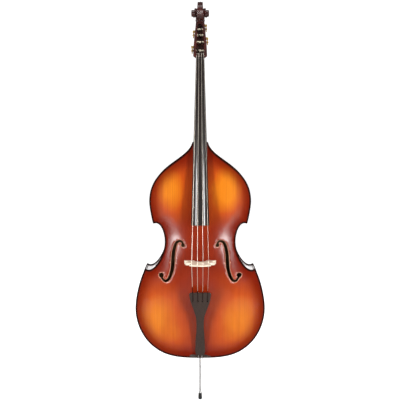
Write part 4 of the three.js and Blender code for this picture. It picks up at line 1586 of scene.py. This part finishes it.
@dataclass
class Neck:
    """Heel, handle, pegbox and scroll."""

    palette: Palette
    board: FingerboardShape = field(default_factory=FingerboardShape)
    pegbox: PegboxShape = field(default_factory=PegboxShape)
    scroll: Scroll = field(default_factory=Scroll)
    heel: tuple = ((60, 1386), (-15, 1400), (-52, 1425), (-66, 1500))
    heel_foot: tuple[float, float] = (60, 1357.3)
    handle: tuple = ((1640, 29), (1760, 27))
    handle_ends: tuple = ((1500, -66), (1570, -52.6), (1787, -9.5))
    tenon: tuple[float, float, float] = (28.0, -94.0, 48.0)
    tenon_z: float = 1350.0
    cell: float = 1.15
    roundness: float = 0.8
    pegbox_round: tuple = (
        (1, 0.02), (1, 0.5), (0.99, 0.66), (0.955, 0.78), (0.88, 0.88), (0.74, 0.955), (0.5, 0.99), (0.2, 1),
    )

    def build(self) -> None:
        """Builds the handle with its heel, and the head."""
        handle = MeshBuilder()
        self.add_handle(handle)
        handle.build("neck_handle", [self.palette.neck], INSTRUMENT, "dark_varnished_maple", (), 60)
        head = MeshBuilder()
        self.add_pegbox(head)
        self.scroll.add_to(head)
        head.build(
            "scroll_and_pegbox", [self.palette.neck], INSTRUMENT, "dark_varnished_maple", ("neck",), 75,
            remesh=self.cell,
        )

    def back_line(self) -> list[tuple[float, float]]:
        """Gives the line of the handle's back, from the heel to the nut.

        Returns:
            Pairs of a height and the y there.
        """
        foot_y, foot_z = self.heel_foot
        curve = [(z, y) for y, z in bezier(self.heel, 16)] + [(self.heel[-1][1], self.heel[-1][0])]
        grip = [(z, self.board.at(z, self.board.under) + thick) for z, thick in self.handle]
        joined = spline([*self.handle_ends[:2], *grip, self.handle_ends[2]], 6)
        return [(foot_z, foot_y), (1370, foot_y), *curve, *[(z, y) for z, y in joined[1:]]]

    def add_handle(self, builder: MeshBuilder) -> None:
        """Adds the heel and the handle.

        Args:
            builder: The mesh that they are added to.
        """
        half, front, back = self.tenon
        rings = []
        angles = np.linspace(0, math.pi, 31)
        rings.append(
            [(half * math.cos(a), front + (back - front) * math.sin(a) ** 0.4, self.tenon_z) for a in angles]
        )
        for z, back_y in self.back_line():
            wide = self.board.at(z, self.board.half) - 0.4
            face = self.board.at(z, self.board.under) + 0.3
            power = self.roundness
            ring = []
            for a in angles:
                c, s = math.cos(a), math.sin(a)
                x = wide * math.copysign(abs(c) ** power, c)
                ring.append((x, face + (back_y - face) * s**power, z))
            rings.append(ring)
        builder.loft(rings)

    def add_pegbox(self, builder: MeshBuilder) -> None:
        """Adds the pegbox with its channel.

        Args:
            builder: The mesh that it is added to.
        """
        around, box = self.pegbox_round, self.pegbox
        heights = sorted({s[0] for s in (*box.stations, *box.channel)} | set(range(1800, 1980, 10)))
        rings = []
        for z in heights:
            half, depth, front = box.size(z, 1), box.size(z, 2), box.front(z)
            wide, deep = min(box.channel_size(z, 1), half - 4), box.channel_size(z, 2)
            right = [(half * a, front + depth * b) for a, b in around]
            left = [(-x, y) for x, y in reversed(right)]
            floor = [(-wide, front + deep), (wide, front + deep)]
            channel = [(-half + 1, front), (-wide, front), *floor, (wide, front), (half - 1, front)]
            rings.append([(x, y, z) for x, y in [*right, *left, *channel]])
        builder.loft(rings)


# --------------------------------------------------------------------------------------------------
# Bridge, tailpiece, strings
# --------------------------------------------------------------------------------------------------


def drop(radius: float, x: float) -> float:
    """Gives how far a round crest of a radius falls at x."""
    return radius - math.sqrt(radius * radius - x * x)


@dataclass
class Bridge:
    """The carved maple bridge, a thin wedge that stands on the top plate."""

    palette: Palette
    shape: BodyShape = field(default_factory=BodyShape)
    side_line: tuple = (
        (80.5, 137), (66, 145), (60, 160), (63, 174), (72, 184), (74, 196), (64, 206), (50, 211), (41, 219),
        (42, 231), (52, 238), (54, 252), (51, 270), (48, 284),
    )
    arch_line: tuple = ((32, 127), (31, 138), (20, 158), (0, 168))
    heart: tuple = ((0, 190), (7, 200), (14, 207), (15, 214), (11, 219), (5, 218), (0, 212))
    crest_y: float = -290.0
    crest_gap: float = 2.3
    crest_radius: float = 75.0
    crest_half: float = 46.5
    base: float = 100.0
    foot: tuple[float, float] = (31.0, 80.5)
    foot_height: float = 9.0
    foot_z: tuple[float, float] = (738.0, 759.0)
    crest_z: tuple[float, float] = (750.0, 754.0)

    def sole(self, x: float) -> float:
        """Gives how far forward the foot's sole lies at x, a hair clear of the top plate."""
        return -float(self.shape.top_outer(x, self.crest_z[0])) + 0.4

    def half_outline(self) -> list[Point2]:
        """Gives the treble half, from the arch between the feet to the crest.

        Returns:
            Pairs of an x and how far forward of the frame's middle plane it lies.
        """
        inner, outer = self.foot
        arch = [(x, h) for x, h in reversed(spline(self.arch_line, 6))]
        feet = [(x, self.sole(x)) for x in np.linspace(inner, outer, 8)]
        side = [(x, h) for x, h in spline(self.side_line, 5)]
        ankle = [(outer, self.sole(outer) + self.foot_height), (outer - 2.0, 136.0)]
        high = self.crest_y + self.crest_gap
        crest = [(x, -(high + drop(self.crest_radius, x))) for x in np.linspace(self.crest_half, 0, 14)]
        side = [(x, h) for x, h in side if h < crest[0][1] - 3 and h > 137.5]
        return [*arch, *feet, *ankle, *side, *crest]

    def build(self) -> None:
        """Builds the bridge."""
        half = self.half_outline()
        outline = half + [(-x, h) for x, h in reversed(half[1:-1])]
        heart = spline(self.heart, 5)
        heart = heart + [(-x, h) for x, h in reversed(heart[1:-1])]
        builder = MeshBuilder()
        self.fill(builder, outline, [heart])
        finishes = [self.palette.bridge]
        builder.build("bridge_carved", finishes, INSTRUMENT, "bridge_maple", ("bridge",), 40, bevel=0.9)

    def fill(self, builder: MeshBuilder, outline: Section, holes: Sequence[Section]) -> None:
        """Adds a wedge-thick slab with holes through it.

        Args:
            builder: The mesh that it is added to.
            outline: The closed outline.
            holes: Closed loops that are cut out.
        """
        flat, faces = triangulated(outline, holes)
        share = (flat[:, 1] - self.base) / (-self.crest_y - self.base)
        count = len(flat)
        sides = []
        for k in (0, 1):
            z = self.foot_z[k] + (self.crest_z[k] - self.foot_z[k]) * share
            sides.append(np.column_stack([flat[:, 0], -flat[:, 1], z]))
        walls = [(a, b, b + count, a + count) for a, b in border(faces)]
        builder.add(np.vstack(sides), [*map(tuple, faces), *map(tuple, faces[:, ::-1] + count), *walls])


@dataclass
class Tailpiece:
    """Tailpiece, saddle and the steel wire that ties the tailpiece to the endpin's collar."""

    palette: Palette
    crest_y: float = -290.0
    slope: float = 0.335
    camber: float = 130.0
    stations: tuple = (
        (264, 14, 10), (270, 21, 11), (285, 25, 12), (334, 24, 13), (400, 20, 14), (442, 19, 14),
        (478, 21.5, 14), (514, 32.5, 14), (566, 49, 15), (602, 55, 16), (610, 47, 14),
    )
    wire: tuple = (
        (9, -117.5, 290), (9, -117.5, 266), (9.5, -113.4, 252), (10, -112.6, 246), (11, -108, 242),
        (11.5, -98, 241.6), (14.5, -30, 243.5), (15.7, -8, 246.9),
    )
    wire_radius: float = 1.6
    loop_radius: float = 15.7
    proud: float = 2.2
    crest_z: float = 752.0
    string_places: tuple = (-36.0, -12.0, 12.0, 36.0)
    hole_z: float = 566.0
    hole_radius: float = 4.6

    def crown(self, z: float) -> float:
        """Gives the y of the tailpiece's highest line."""
        return self.crest_y + (self.crest_z - z) * self.slope + self.proud

    def section(self, z: float, half: float, thick: float) -> list[tuple[float, float, float]]:
        """Gives one cross-section.

        Args:
            z: Its height.
            half: Its half width.
            thick: Its thickness.

        Returns:
            The section's corners.
        """
        top = [(half * a, self.crown(z) + drop(self.camber, half * a)) for a in np.linspace(-0.97, 0.97, 21)]
        edge = self.crown(z) + drop(self.camber, half)
        right = [(half, edge + 1.2), (half, edge + thick * 0.45), (half * 0.93, edge + thick * 0.62)]
        under = [(half * 0.6, edge + thick * 0.7), (0, edge + thick * 0.66)]
        left = [(-x, y) for x, y in reversed([*right, under[0]])]
        return [(x, y, z) for x, y in [*top, *right, *under, *left]]

    def hole(self, builder: MeshBuilder, x: float, top: float) -> None:
        """Adds a dark dished disc of painted shade where one string's hole is, standing proud of a surface at
        top.

        Args:
            builder: The mesh that it is added to.
            x: Where the hole is across the tailpiece.
            top: The y of the surface there.
        """
        reach, lip, dish = self.hole_radius, self.hole_radius - 0.9, 0.45
        profile = [(0, 1.5), (reach, 1.5), (reach, -dish), (reach - 0.4, -0.8), (lip, -0.8)]
        profile += [(lip - 0.5, -0.3), (0, -0.3)]
        builder.revolve(profile, (x, top, self.hole_z), Axis.Y, 1, 28)

    def build(self) -> None:
        """Builds the tailpiece, dresses the saddle and bends the wire."""
        heights = [s[0] for s in self.stations]
        dense = sorted({*heights, *np.linspace(266, 609, 40)})
        smooth = spline(self.stations, 8)
        zs = [p[0] for p in smooth]
        rings = []
        for z in dense:
            half = float(np.interp(z, zs, [p[1] for p in smooth]))
            thick = float(np.interp(z, zs, [p[2] for p in smooth]))
            rings.append(self.section(z, half, thick))
        builder = MeshBuilder()
        builder.loft(rings)
        # Each string hole is a dark disc of painted shade, not a hole through the ebony.
        for x in self.string_places:
            top = self.crown(self.hole_z) + drop(self.camber, x)
            self.hole(builder, x, top)
        finishes = [self.palette.tailpiece, self.palette.painted_hole_shade]
        builder.build("tailpiece_turned", finishes, INSTRUMENT, "ebony", ("tailpiece",), 45)
        dress(frame_nodes()["saddle"], self.palette.tailpiece)
        radius, loop_z = self.loop_radius, self.wire[-1][2]
        turn = np.linspace(0, math.pi, 25)
        half_loop = [(radius * math.cos(a), radius * math.sin(a), loop_z) for a in turn]
        right = spline(self.wire, 8)
        path = [*right[:-1], *half_loop, *[(-x, y, z) for x, y, z in reversed(right[:-1])]]
        builder = MeshBuilder()
        builder.tube(path, self.wire_radius)
        builder.build("tail_wire_bent", [self.palette.steel], INSTRUMENT, "steel", ("tail_wire",), 60)


@dataclass(frozen=True)
class StringSpec:
    """One string's radius and its x at the bridge, nut, tailpiece and roller, with the silk's upper end."""

    name: str
    radius: float
    bridge_x: float
    nut_x: float
    tail_x: float
    wind_x: float
    silk_end: float
    silk_start: float = 1812.0


STRINGS = (
    StringSpec("e", 1.4, -42, -19, -36, -12, 642),
    StringSpec("a", 1.15, -14, -6.5, -12, -6, 622),
    StringSpec("d", 0.95, 14, 6.5, 12, 4, 620),
    StringSpec("g", 0.75, 42, 19, 36, 9, 621),
)


@dataclass(frozen=True)
class MachineSpec:
    """One tuning machine: which string, which cheek and how high its roller is."""

    name: str
    side: Side
    z: float


MACHINES = (
    MachineSpec("e", Side.BASS, 1825),
    MachineSpec("g", Side.TREBLE, 1870),
    MachineSpec("a", Side.BASS, 1906),
    MachineSpec("d", Side.TREBLE, 1938),
)


@dataclass
class Strings:
    """Four wound strings with silk at both ends."""

    palette: Palette
    tailpiece: Tailpiece
    pegbox: PegboxShape = field(default_factory=PegboxShape)
    roller_depth: float = 24.0
    roller_radius: float = 6.5
    silk_thickness: float = 0.35
    tail_fret_z: float = 604.0
    nut_z: float = 1790.0
    nut_y: float = -54.0
    bridge_radius: float = 75.0
    nut_radius: float = 60.0

    def path(self, spec: StringSpec, machine: MachineSpec) -> list[tuple[float, float, float]]:
        """Gives a string's corners from the tailpiece's hole to the roller.

        Args:
            spec: The string.
            machine: The machine that winds it.

        Returns:
            The corners, from the lowest to the highest.
        """
        tail = self.tailpiece
        start = tail.hole_z
        hole = tail.crown(start) + drop(tail.camber, spec.tail_x)
        share = (self.tail_fret_z - start) / (tail.crest_z - start)
        fret_x = spec.tail_x + (spec.bridge_x - spec.tail_x) * share
        roller = self.pegbox.front(machine.z) + self.roller_depth
        wound = self.roller_radius + 2 * spec.radius
        return [
            (spec.tail_x, hole + 9, start),
            (spec.tail_x, hole - spec.radius - 0.8, start),
            (fret_x, tail.crown(self.tail_fret_z) + drop(tail.camber, fret_x) - 2.6, self.tail_fret_z),
            (spec.bridge_x, tail.crest_y + drop(self.bridge_radius, spec.bridge_x), tail.crest_z),
            (spec.nut_x, self.nut_y + drop(self.nut_radius, spec.nut_x), self.nut_z),
            (spec.wind_x, roller - wound - 0.3 - spec.radius, machine.z),
        ]

    @staticmethod
    def softened(corners: Section, reach: float = 3.0) -> list[tuple[float, ...]]:
        """Rounds each corner of a path over a short reach.

        Args:
            corners: The path's corners.
            reach: How far from a corner its rounding starts.

        Returns:
            The rounded path.
        """
        p = [np.array(c, float) for c in corners]
        out = [tuple(p[0])]
        for before, at, after in zip(p, p[1:], p[2:]):
            back, on = before - at, after - at
            a = at + back / np.linalg.norm(back) * min(reach, np.linalg.norm(back) / 2)
            b = at + on / np.linalg.norm(on) * min(reach, np.linalg.norm(on) / 2)
            out += [tuple((1 - t) ** 2 * a + 2 * t * (1 - t) * at + t * t * b) for t in np.linspace(0, 1, 6)]
        return out + [tuple(p[-1])]

    def build(self) -> None:
        """Strings the instrument."""
        machines = {m.name: m for m in MACHINES}
        for spec in STRINGS:
            path = self.softened(self.path(spec, machines[spec.name]))
            builder = MeshBuilder()
            builder.tube(path, spec.radius, sides=14)
            thick = spec.radius + self.silk_thickness
            for start, end in ((path[1][2], spec.silk_end), (spec.silk_start, path[-1][2])):
                part = self.cut(path, start, end)
                if len(part) > 1:
                    builder.tube(part, thick, 1, 14)
            finishes, node = [self.palette.string, self.palette.silk], f"string_{spec.name}"
            builder.build(f"{node}_wound", finishes, INSTRUMENT, "string_steel", (node,), 60)

    @staticmethod
    def cut(path: Section, low: float, high: float) -> list[tuple[float, ...]]:
        """Gives the part of a path between two heights.

        Args:
            path: A string's rounded path.
            low: The lower height.
            high: The upper height.

        Returns:
            The points of that part, or none.
        """
        p = np.array(path[4:], float)
        z = p[:, 2]
        low = max(low, float(z[0]))
        if high <= low:
            return []
        heights = [low, *[float(v) for v in z if low < v < high], high]
        return [tuple(float(np.interp(h, z, p[:, k])) for k in (0, 1, 2)) for h in heights]


# --------------------------------------------------------------------------------------------------
# Tuning machines and endpin
# --------------------------------------------------------------------------------------------------


@dataclass
class TuningMachine:
    """One worm machine: its plate with screws, its butterfly key, and its wheel and wound roller."""

    palette: Palette
    spec: MachineSpec
    string: StringSpec
    pegbox: PegboxShape = field(default_factory=PegboxShape)
    seat_inset: float = 0.6
    gap: float = 0.3
    plate: float = 1.5
    screw_radius: float = 2.7
    screw_places: tuple = ((-9.0, -11.5), (9.0, -11.5), (-8.0, 23.0), (8.0, 23.0))
    wheel_out: float = 10.4
    spigot_out: float = 11.4
    roller_radius: float = 6.5
    roller_depth: float = 24.0
    roller_end: float = 5.1
    spigot_radius: float = 3.4
    gear_screw_radius: float = 4.4
    coil_turns: float = 3.0

    def __post_init__(self) -> None:
        """Works out where the machine sits."""
        self.sign = self.spec.side.value
        self.seat = self.pegbox.size(self.spec.z + 26, 1) - self.seat_inset
        self.y = self.pegbox.front(self.spec.z) + self.roller_depth

    def along(self, profile: Section) -> list[Point2]:
        """Turns a profile's places outward from the cheek, whichever side it is."""
        return [(r, self.sign * place) for r, place in profile]

    def out(self, local: float) -> float:
        """Turns a distance outward from the cheek into an x."""
        return self.sign * (self.seat + self.gap + local)

    def screw(self, builder: MeshBuilder, y: float, z: float, base: float, radius: float) -> None:
        """Adds one domed screw head with a slot.

        Args:
            builder: The mesh that it is added to.
            y: Where it is, forward or back from the roller.
            z: Where it is, up or down from the roller.
            base: How far out from the cheek's gap it sits.
            radius: Its radius.
        """
        rise = 0.42 * radius
        top = base + 0.2 + rise
        dome = [(0, base - 0.3), (radius, base - 0.3), (radius, base + 0.2)]
        dome += [(radius * math.cos(a), base + 0.2 + rise * math.sin(a)) for a in (0.4, 0.8, 1.15)]
        start = (self.out(0), self.y + y, self.spec.z + z)
        builder.revolve(self.along([*dome, (0, top)]), start, Axis.X, 0, 24)
        long, wide = radius * 0.72, 0.35

        def place(a: float, b: float, face: int) -> tuple[float, float, float]:
            """Puts a corner of the slot on the dome."""
            return (start[0] + self.sign * (top - 0.25 + 0.32 * face), start[1] + a, start[2] + b)

        builder.slab([(-long, -wide), (long, -wide), (long, wide), (-long, wide)], place, 1)

    def build(self) -> None:
        """Builds the fine pieces and dresses the carried-over ones."""
        name = self.spec.name
        nodes = frame_nodes()
        for node in (f"tuner_plate_{name}", f"worm_key_{name}", f"gear_wheel_{name}"):
            dress(nodes[node], self.palette.brass)
        finishes = [self.palette.brass, self.palette.dark_steel]
        builder = MeshBuilder()
        for y, z in self.screw_places:
            self.screw(builder, y, z, self.plate, self.screw_radius)
        builder.build(f"plate_screws_{name}", finishes, INSTRUMENT, "brass")
        builder = MeshBuilder()
        self.screw(builder, 0, 0, self.spigot_out, self.gear_screw_radius)
        builder.build(f"gear_screw_{name}", finishes, f"roller_{name}", "brass")
        self.roller()

    def roller(self) -> None:
        """Builds the roller with its turns of string."""
        node, r, spigot = f"roller_{self.spec.name}", self.roller_radius, self.spigot_radius
        far = -(2 * self.seat) + 3 - self.gap
        centre = (self.out(0), self.y, self.spec.z)
        profile = [(0, far), (r - 0.6, far), (r, far + 0.6), (r, self.roller_end)]
        profile += [(spigot, self.roller_end), (spigot, self.spigot_out), (0, self.spigot_out)]
        builder = MeshBuilder()
        builder.revolve(self.along(profile), centre, Axis.X, 0, 40)
        thick = self.string.radius
        pitch = 2 * thick + 0.1
        steps = int(40 * self.coil_turns)
        coil = []
        for i in range(steps + 1):
            angle = 2 * math.pi * self.coil_turns * i / steps
            along = self.string.wind_x + (i / steps - 0.5) * self.coil_turns * pitch
            reach = r + thick * 0.95
            coil.append((along, self.y - reach * math.cos(angle), self.spec.z + reach * math.sin(angle)))
        builder.tube(coil, thick, 1, 8)
        finishes = [self.palette.pale_brass, self.palette.silk]
        builder.build(f"{node}_wound", finishes, node, "brass", (node,))


@dataclass
class Endpin:
    """Collar, thumb screw, notched rod and rubber tip."""

    palette: Palette
    collar: tuple = (
        (5.8, 228), (10.6, 228), (11.2, 228.4), (15.2, 230.2), (16.2, 231), (17.8, 234.6), (18, 235.4),
        (18, 240), (17.6, 240.9), (16.7, 244.2), (16.1, 244.7), (13.6, 244.9), (13.6, 249.4), (12.7, 250),
        (11.6, 299), (5.8, 299),
    )
    tip: tuple = (
        (0, 0), (6.4, 0), (7.2, 0.3), (9.3, 2.3), (9.8, 4), (10, 8), (9.6, 24), (8.4, 33), (7.8, 34),
        (5.6, 34), (5.6, 8), (0, 8),
    )
    ring: tuple = (
        (5.6, 34.3), (8.2, 34.3), (8.4, 34.7), (8.4, 37.8), (7.9, 38.8), (7.2, 39.4), (5.6, 39.4),
    )
    rod_radius: float = 5.25
    rod: tuple[float, float] = (8.3, 440.0)
    notch: float = 0.8
    notch_first: float = 82.0
    notch_step: float = 44.0
    notch_last: float = 280.0

    def build(self) -> None:
        """Builds the endpin's pieces."""
        p = self.palette
        self.turned("endpin_collar_turned", self.collar, p.brass, INSTRUMENT, "brass", "endpin_collar")
        self.turned("endpin_tip_moulded", self.tip, p.rubber, "endpin", "rubber", "endpin_tip")
        self.turned("tip_ring_turned", self.ring, p.steel, "endpin", "steel", "tip_ring")
        low, high = self.rod
        r = self.rod_radius
        rod = [(0, low), (r - 0.5, low), (r, low + 0.5)]
        place = self.notch_first
        while place < self.notch_last:
            rod += [(r, place - 2.2), (r - self.notch, place - 1.2)]
            rod += [(r - self.notch, place + 1.2), (r, place + 2.2)]
            place += self.notch_step
        rod += [(r, high - 0.8), (r - 0.8, high), (0, high)]
        builder = MeshBuilder()
        builder.revolve(rod, (0, 0, 0), Axis.Z, 0, 40)
        builder.build("endpin_rod_notched", [p.steel], "endpin", "steel", ("endpin_rod",))
        dress(frame_nodes()["thumb_screw"], p.dark_steel)

    @staticmethod
    def turned(
        name: str, profile: Section, material: Material, body: str, slot: str, node: str
    ) -> None:
        """Turns one profile about the endpin's axis.

        Args:
            name: The piece's name.
            profile: Its profile.
            material: Its finish.
            body: The body that it rides on.
            slot: The record's material slot.
            node: The node that it stands for.
        """
        builder = MeshBuilder()
        builder.revolve(profile, (0, 0, 0), Axis.Z, 0, 64)
        builder.build(name, [material], body, slot, (node,), 42)


# --------------------------------------------------------------------------------------------------
# Studio
# --------------------------------------------------------------------------------------------------


@dataclass(frozen=True)
class SoftBox:
    """One rectangular studio light, placed round the instrument in metres and degrees."""

    name: str
    azimuth: float
    elevation: float
    distance: float
    width: float
    height: float
    watts: float

    def hang(self, target: Vector) -> None:
        """Hangs the light facing a target.

        Args:
            target: What it faces, in metres.
        """
        light = bpy.data.lights.new(self.name, "AREA")
        light.shape, light.size, light.size_y = "RECTANGLE", self.width, self.height
        light.energy = self.watts
        around, up = math.radians(self.azimuth), math.radians(self.elevation)
        way = Vector((math.sin(around) * math.cos(up), -math.cos(around) * math.cos(up), math.sin(up)))
        lamp = bpy.data.objects.new(self.name, light)
        lamp.location = target + way * self.distance
        lamp.rotation_euler = (-way).to_track_quat("-Z", "Y").to_euler()
        bpy.context.scene.collection.objects.link(lamp)


@dataclass
class Studio:
    """Camera, lights, and a plain white room."""

    eye: tuple[float, float, float] = (0.0, -4.9, 1.45)
    aim: tuple[float, float, float] = (-0.0008, -0.1, 1.0646)
    lens: float = 85.0
    sensor: float = 36.0
    room_strength: float = 0.14
    back_card_strength: float = 1.9
    backdrop_strength: float = 1.15
    floor_lift: float = 0.95
    floor_reach: float = 40.0
    card_edge: Point2 = (0.86, 0.95)
    lamp_aim: tuple[float, float, float] = (0.0, 0.0, 1.1)
    lights: tuple = (
        SoftBox("left_box", -31, 2, 4.2, 0.42, 3.0, 118),
        SoftBox("right_box", 31, 2, 4.2, 0.42, 3.0, 132),
        SoftBox("over_box", 0, 72, 3.6, 3.0, 1.6, 60),
        SoftBox("back_left_box", -140, 15, 4.2, 2.4, 2.8, 60),
        SoftBox("back_right_box", 140, 15, 4.2, 2.4, 2.8, 60),
    )

    def build(self) -> None:
        """Sets up the room."""
        scene = bpy.context.scene
        scene.view_settings.view_transform = "Standard"
        scene.view_settings.look = "None"
        camera = bpy.data.cameras.new("camera")
        camera.lens, camera.sensor_width = self.lens, self.sensor
        holder = bpy.data.objects.new("camera", camera)
        holder.location = self.eye
        holder.rotation_euler = (Vector(self.aim) - Vector(self.eye)).to_track_quat("-Z", "Y").to_euler()
        scene.collection.objects.link(holder)
        scene.camera = holder
        self.room()
        for light in self.lights:
            light.hang(Vector(self.lamp_aim))
        self.floor()

    def room(self) -> None:
        """Paints the room white to look at, and dimmer as a light."""
        world = bpy.data.worlds.new("white_room")
        world.use_nodes = True
        tree = world.node_tree
        background = tree.nodes["Background"]
        background.inputs["Color"].default_value = (1.0, 1.0, 1.0, 1.0)
        place = tree.nodes.new("ShaderNodeTexCoord")
        split = tree.nodes.new("ShaderNodeSeparateXYZ")
        card = tree.nodes.new("ShaderNodeMapRange")
        card.interpolation_type = "SMOOTHSTEP"
        ranges = (*self.card_edge, self.room_strength, self.back_card_strength)
        for socket, number in zip(("From Min", "From Max", "To Min", "To Max"), ranges):
            card.inputs[socket].default_value = number
        tree.links.new(place.outputs["Generated"], split.inputs["Vector"])
        tree.links.new(split.outputs["Y"], card.inputs["Value"])
        pick = self.seen_strength(tree, background.inputs["Strength"], 0.0, self.backdrop_strength)
        tree.links.new(card.outputs["Result"], pick.inputs["To Min"])
        bpy.context.scene.world = world

    @staticmethod
    def seen_strength(
        tree: bpy.types.NodeTree, socket: Socket, lit: float, seen: float
    ) -> bpy.types.Node:
        """Gives a strength one value as a light and another where it is looked at directly.

        Args:
            tree: The nodes that it is added to.
            socket: The strength.
            lit: Its value as a light.
            seen: Its value where it is looked at.

        Returns:
            The node that picks.
        """
        path = tree.nodes.new("ShaderNodeLightPath")
        pick = tree.nodes.new("ShaderNodeMapRange")
        pick.inputs["To Min"].default_value = lit
        pick.inputs["To Max"].default_value = seen
        tree.links.new(path.outputs["Is Camera Ray"], pick.inputs["Value"])
        tree.links.new(pick.outputs["Result"], socket)
        return pick

    def floor(self) -> None:
        """Lays the pale floor."""
        s = Shader("pale_floor")
        dust = s.noise((3, 3, 3), 3)
        dull, pale = (0.62, 0.62, 0.62, 1.0), (0.66, 0.66, 0.66, 1.0)
        s.link(s.mix(s.spread(dust, (0.3, 0.7), (0.0, 1.0)), dull, pale), "Base Color")
        s.set(Roughness=0.9, Specular_IOR_Level=0.1)
        s.principled.inputs["Emission Color"].default_value = (1.0, 1.0, 1.0, 1.0)
        self.seen_strength(s.tree, s.principled.inputs["Emission Strength"], 0.0, self.floor_lift)
        mesh = bpy.data.meshes.new("floor")
        reach = self.floor_reach
        corners = [(x * reach, y * reach, 0) for x, y in ((-1, -1), (1, -1), (1, 1), (-1, 1))]
        mesh.from_pydata(corners, [], [(0, 1, 2, 3)])
        mesh.materials.append(s.material)
        floor = bpy.data.objects.new("floor", mesh)
        bpy.context.scene.collection.objects.link(floor)


def main() -> None:
    """Builds the double bass round its frame."""
    logging.basicConfig(level=logging.INFO, format="%(name)s: %(message)s")
    FRAME.update(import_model())
    palette = Palette()
    Body(palette).build()
    Neck(palette).build()
    Fingerboard(palette).build()
    Bridge(palette).build()
    tailpiece = Tailpiece(palette)
    tailpiece.build()
    Strings(palette, tailpiece).build()
    strings = {s.name: s for s in STRINGS}
    for machine in MACHINES:
        TuningMachine(palette, machine, strings[machine.name]).build()
    Endpin(palette).build()
    Studio().build()


if __name__ == "__main__":
    main()
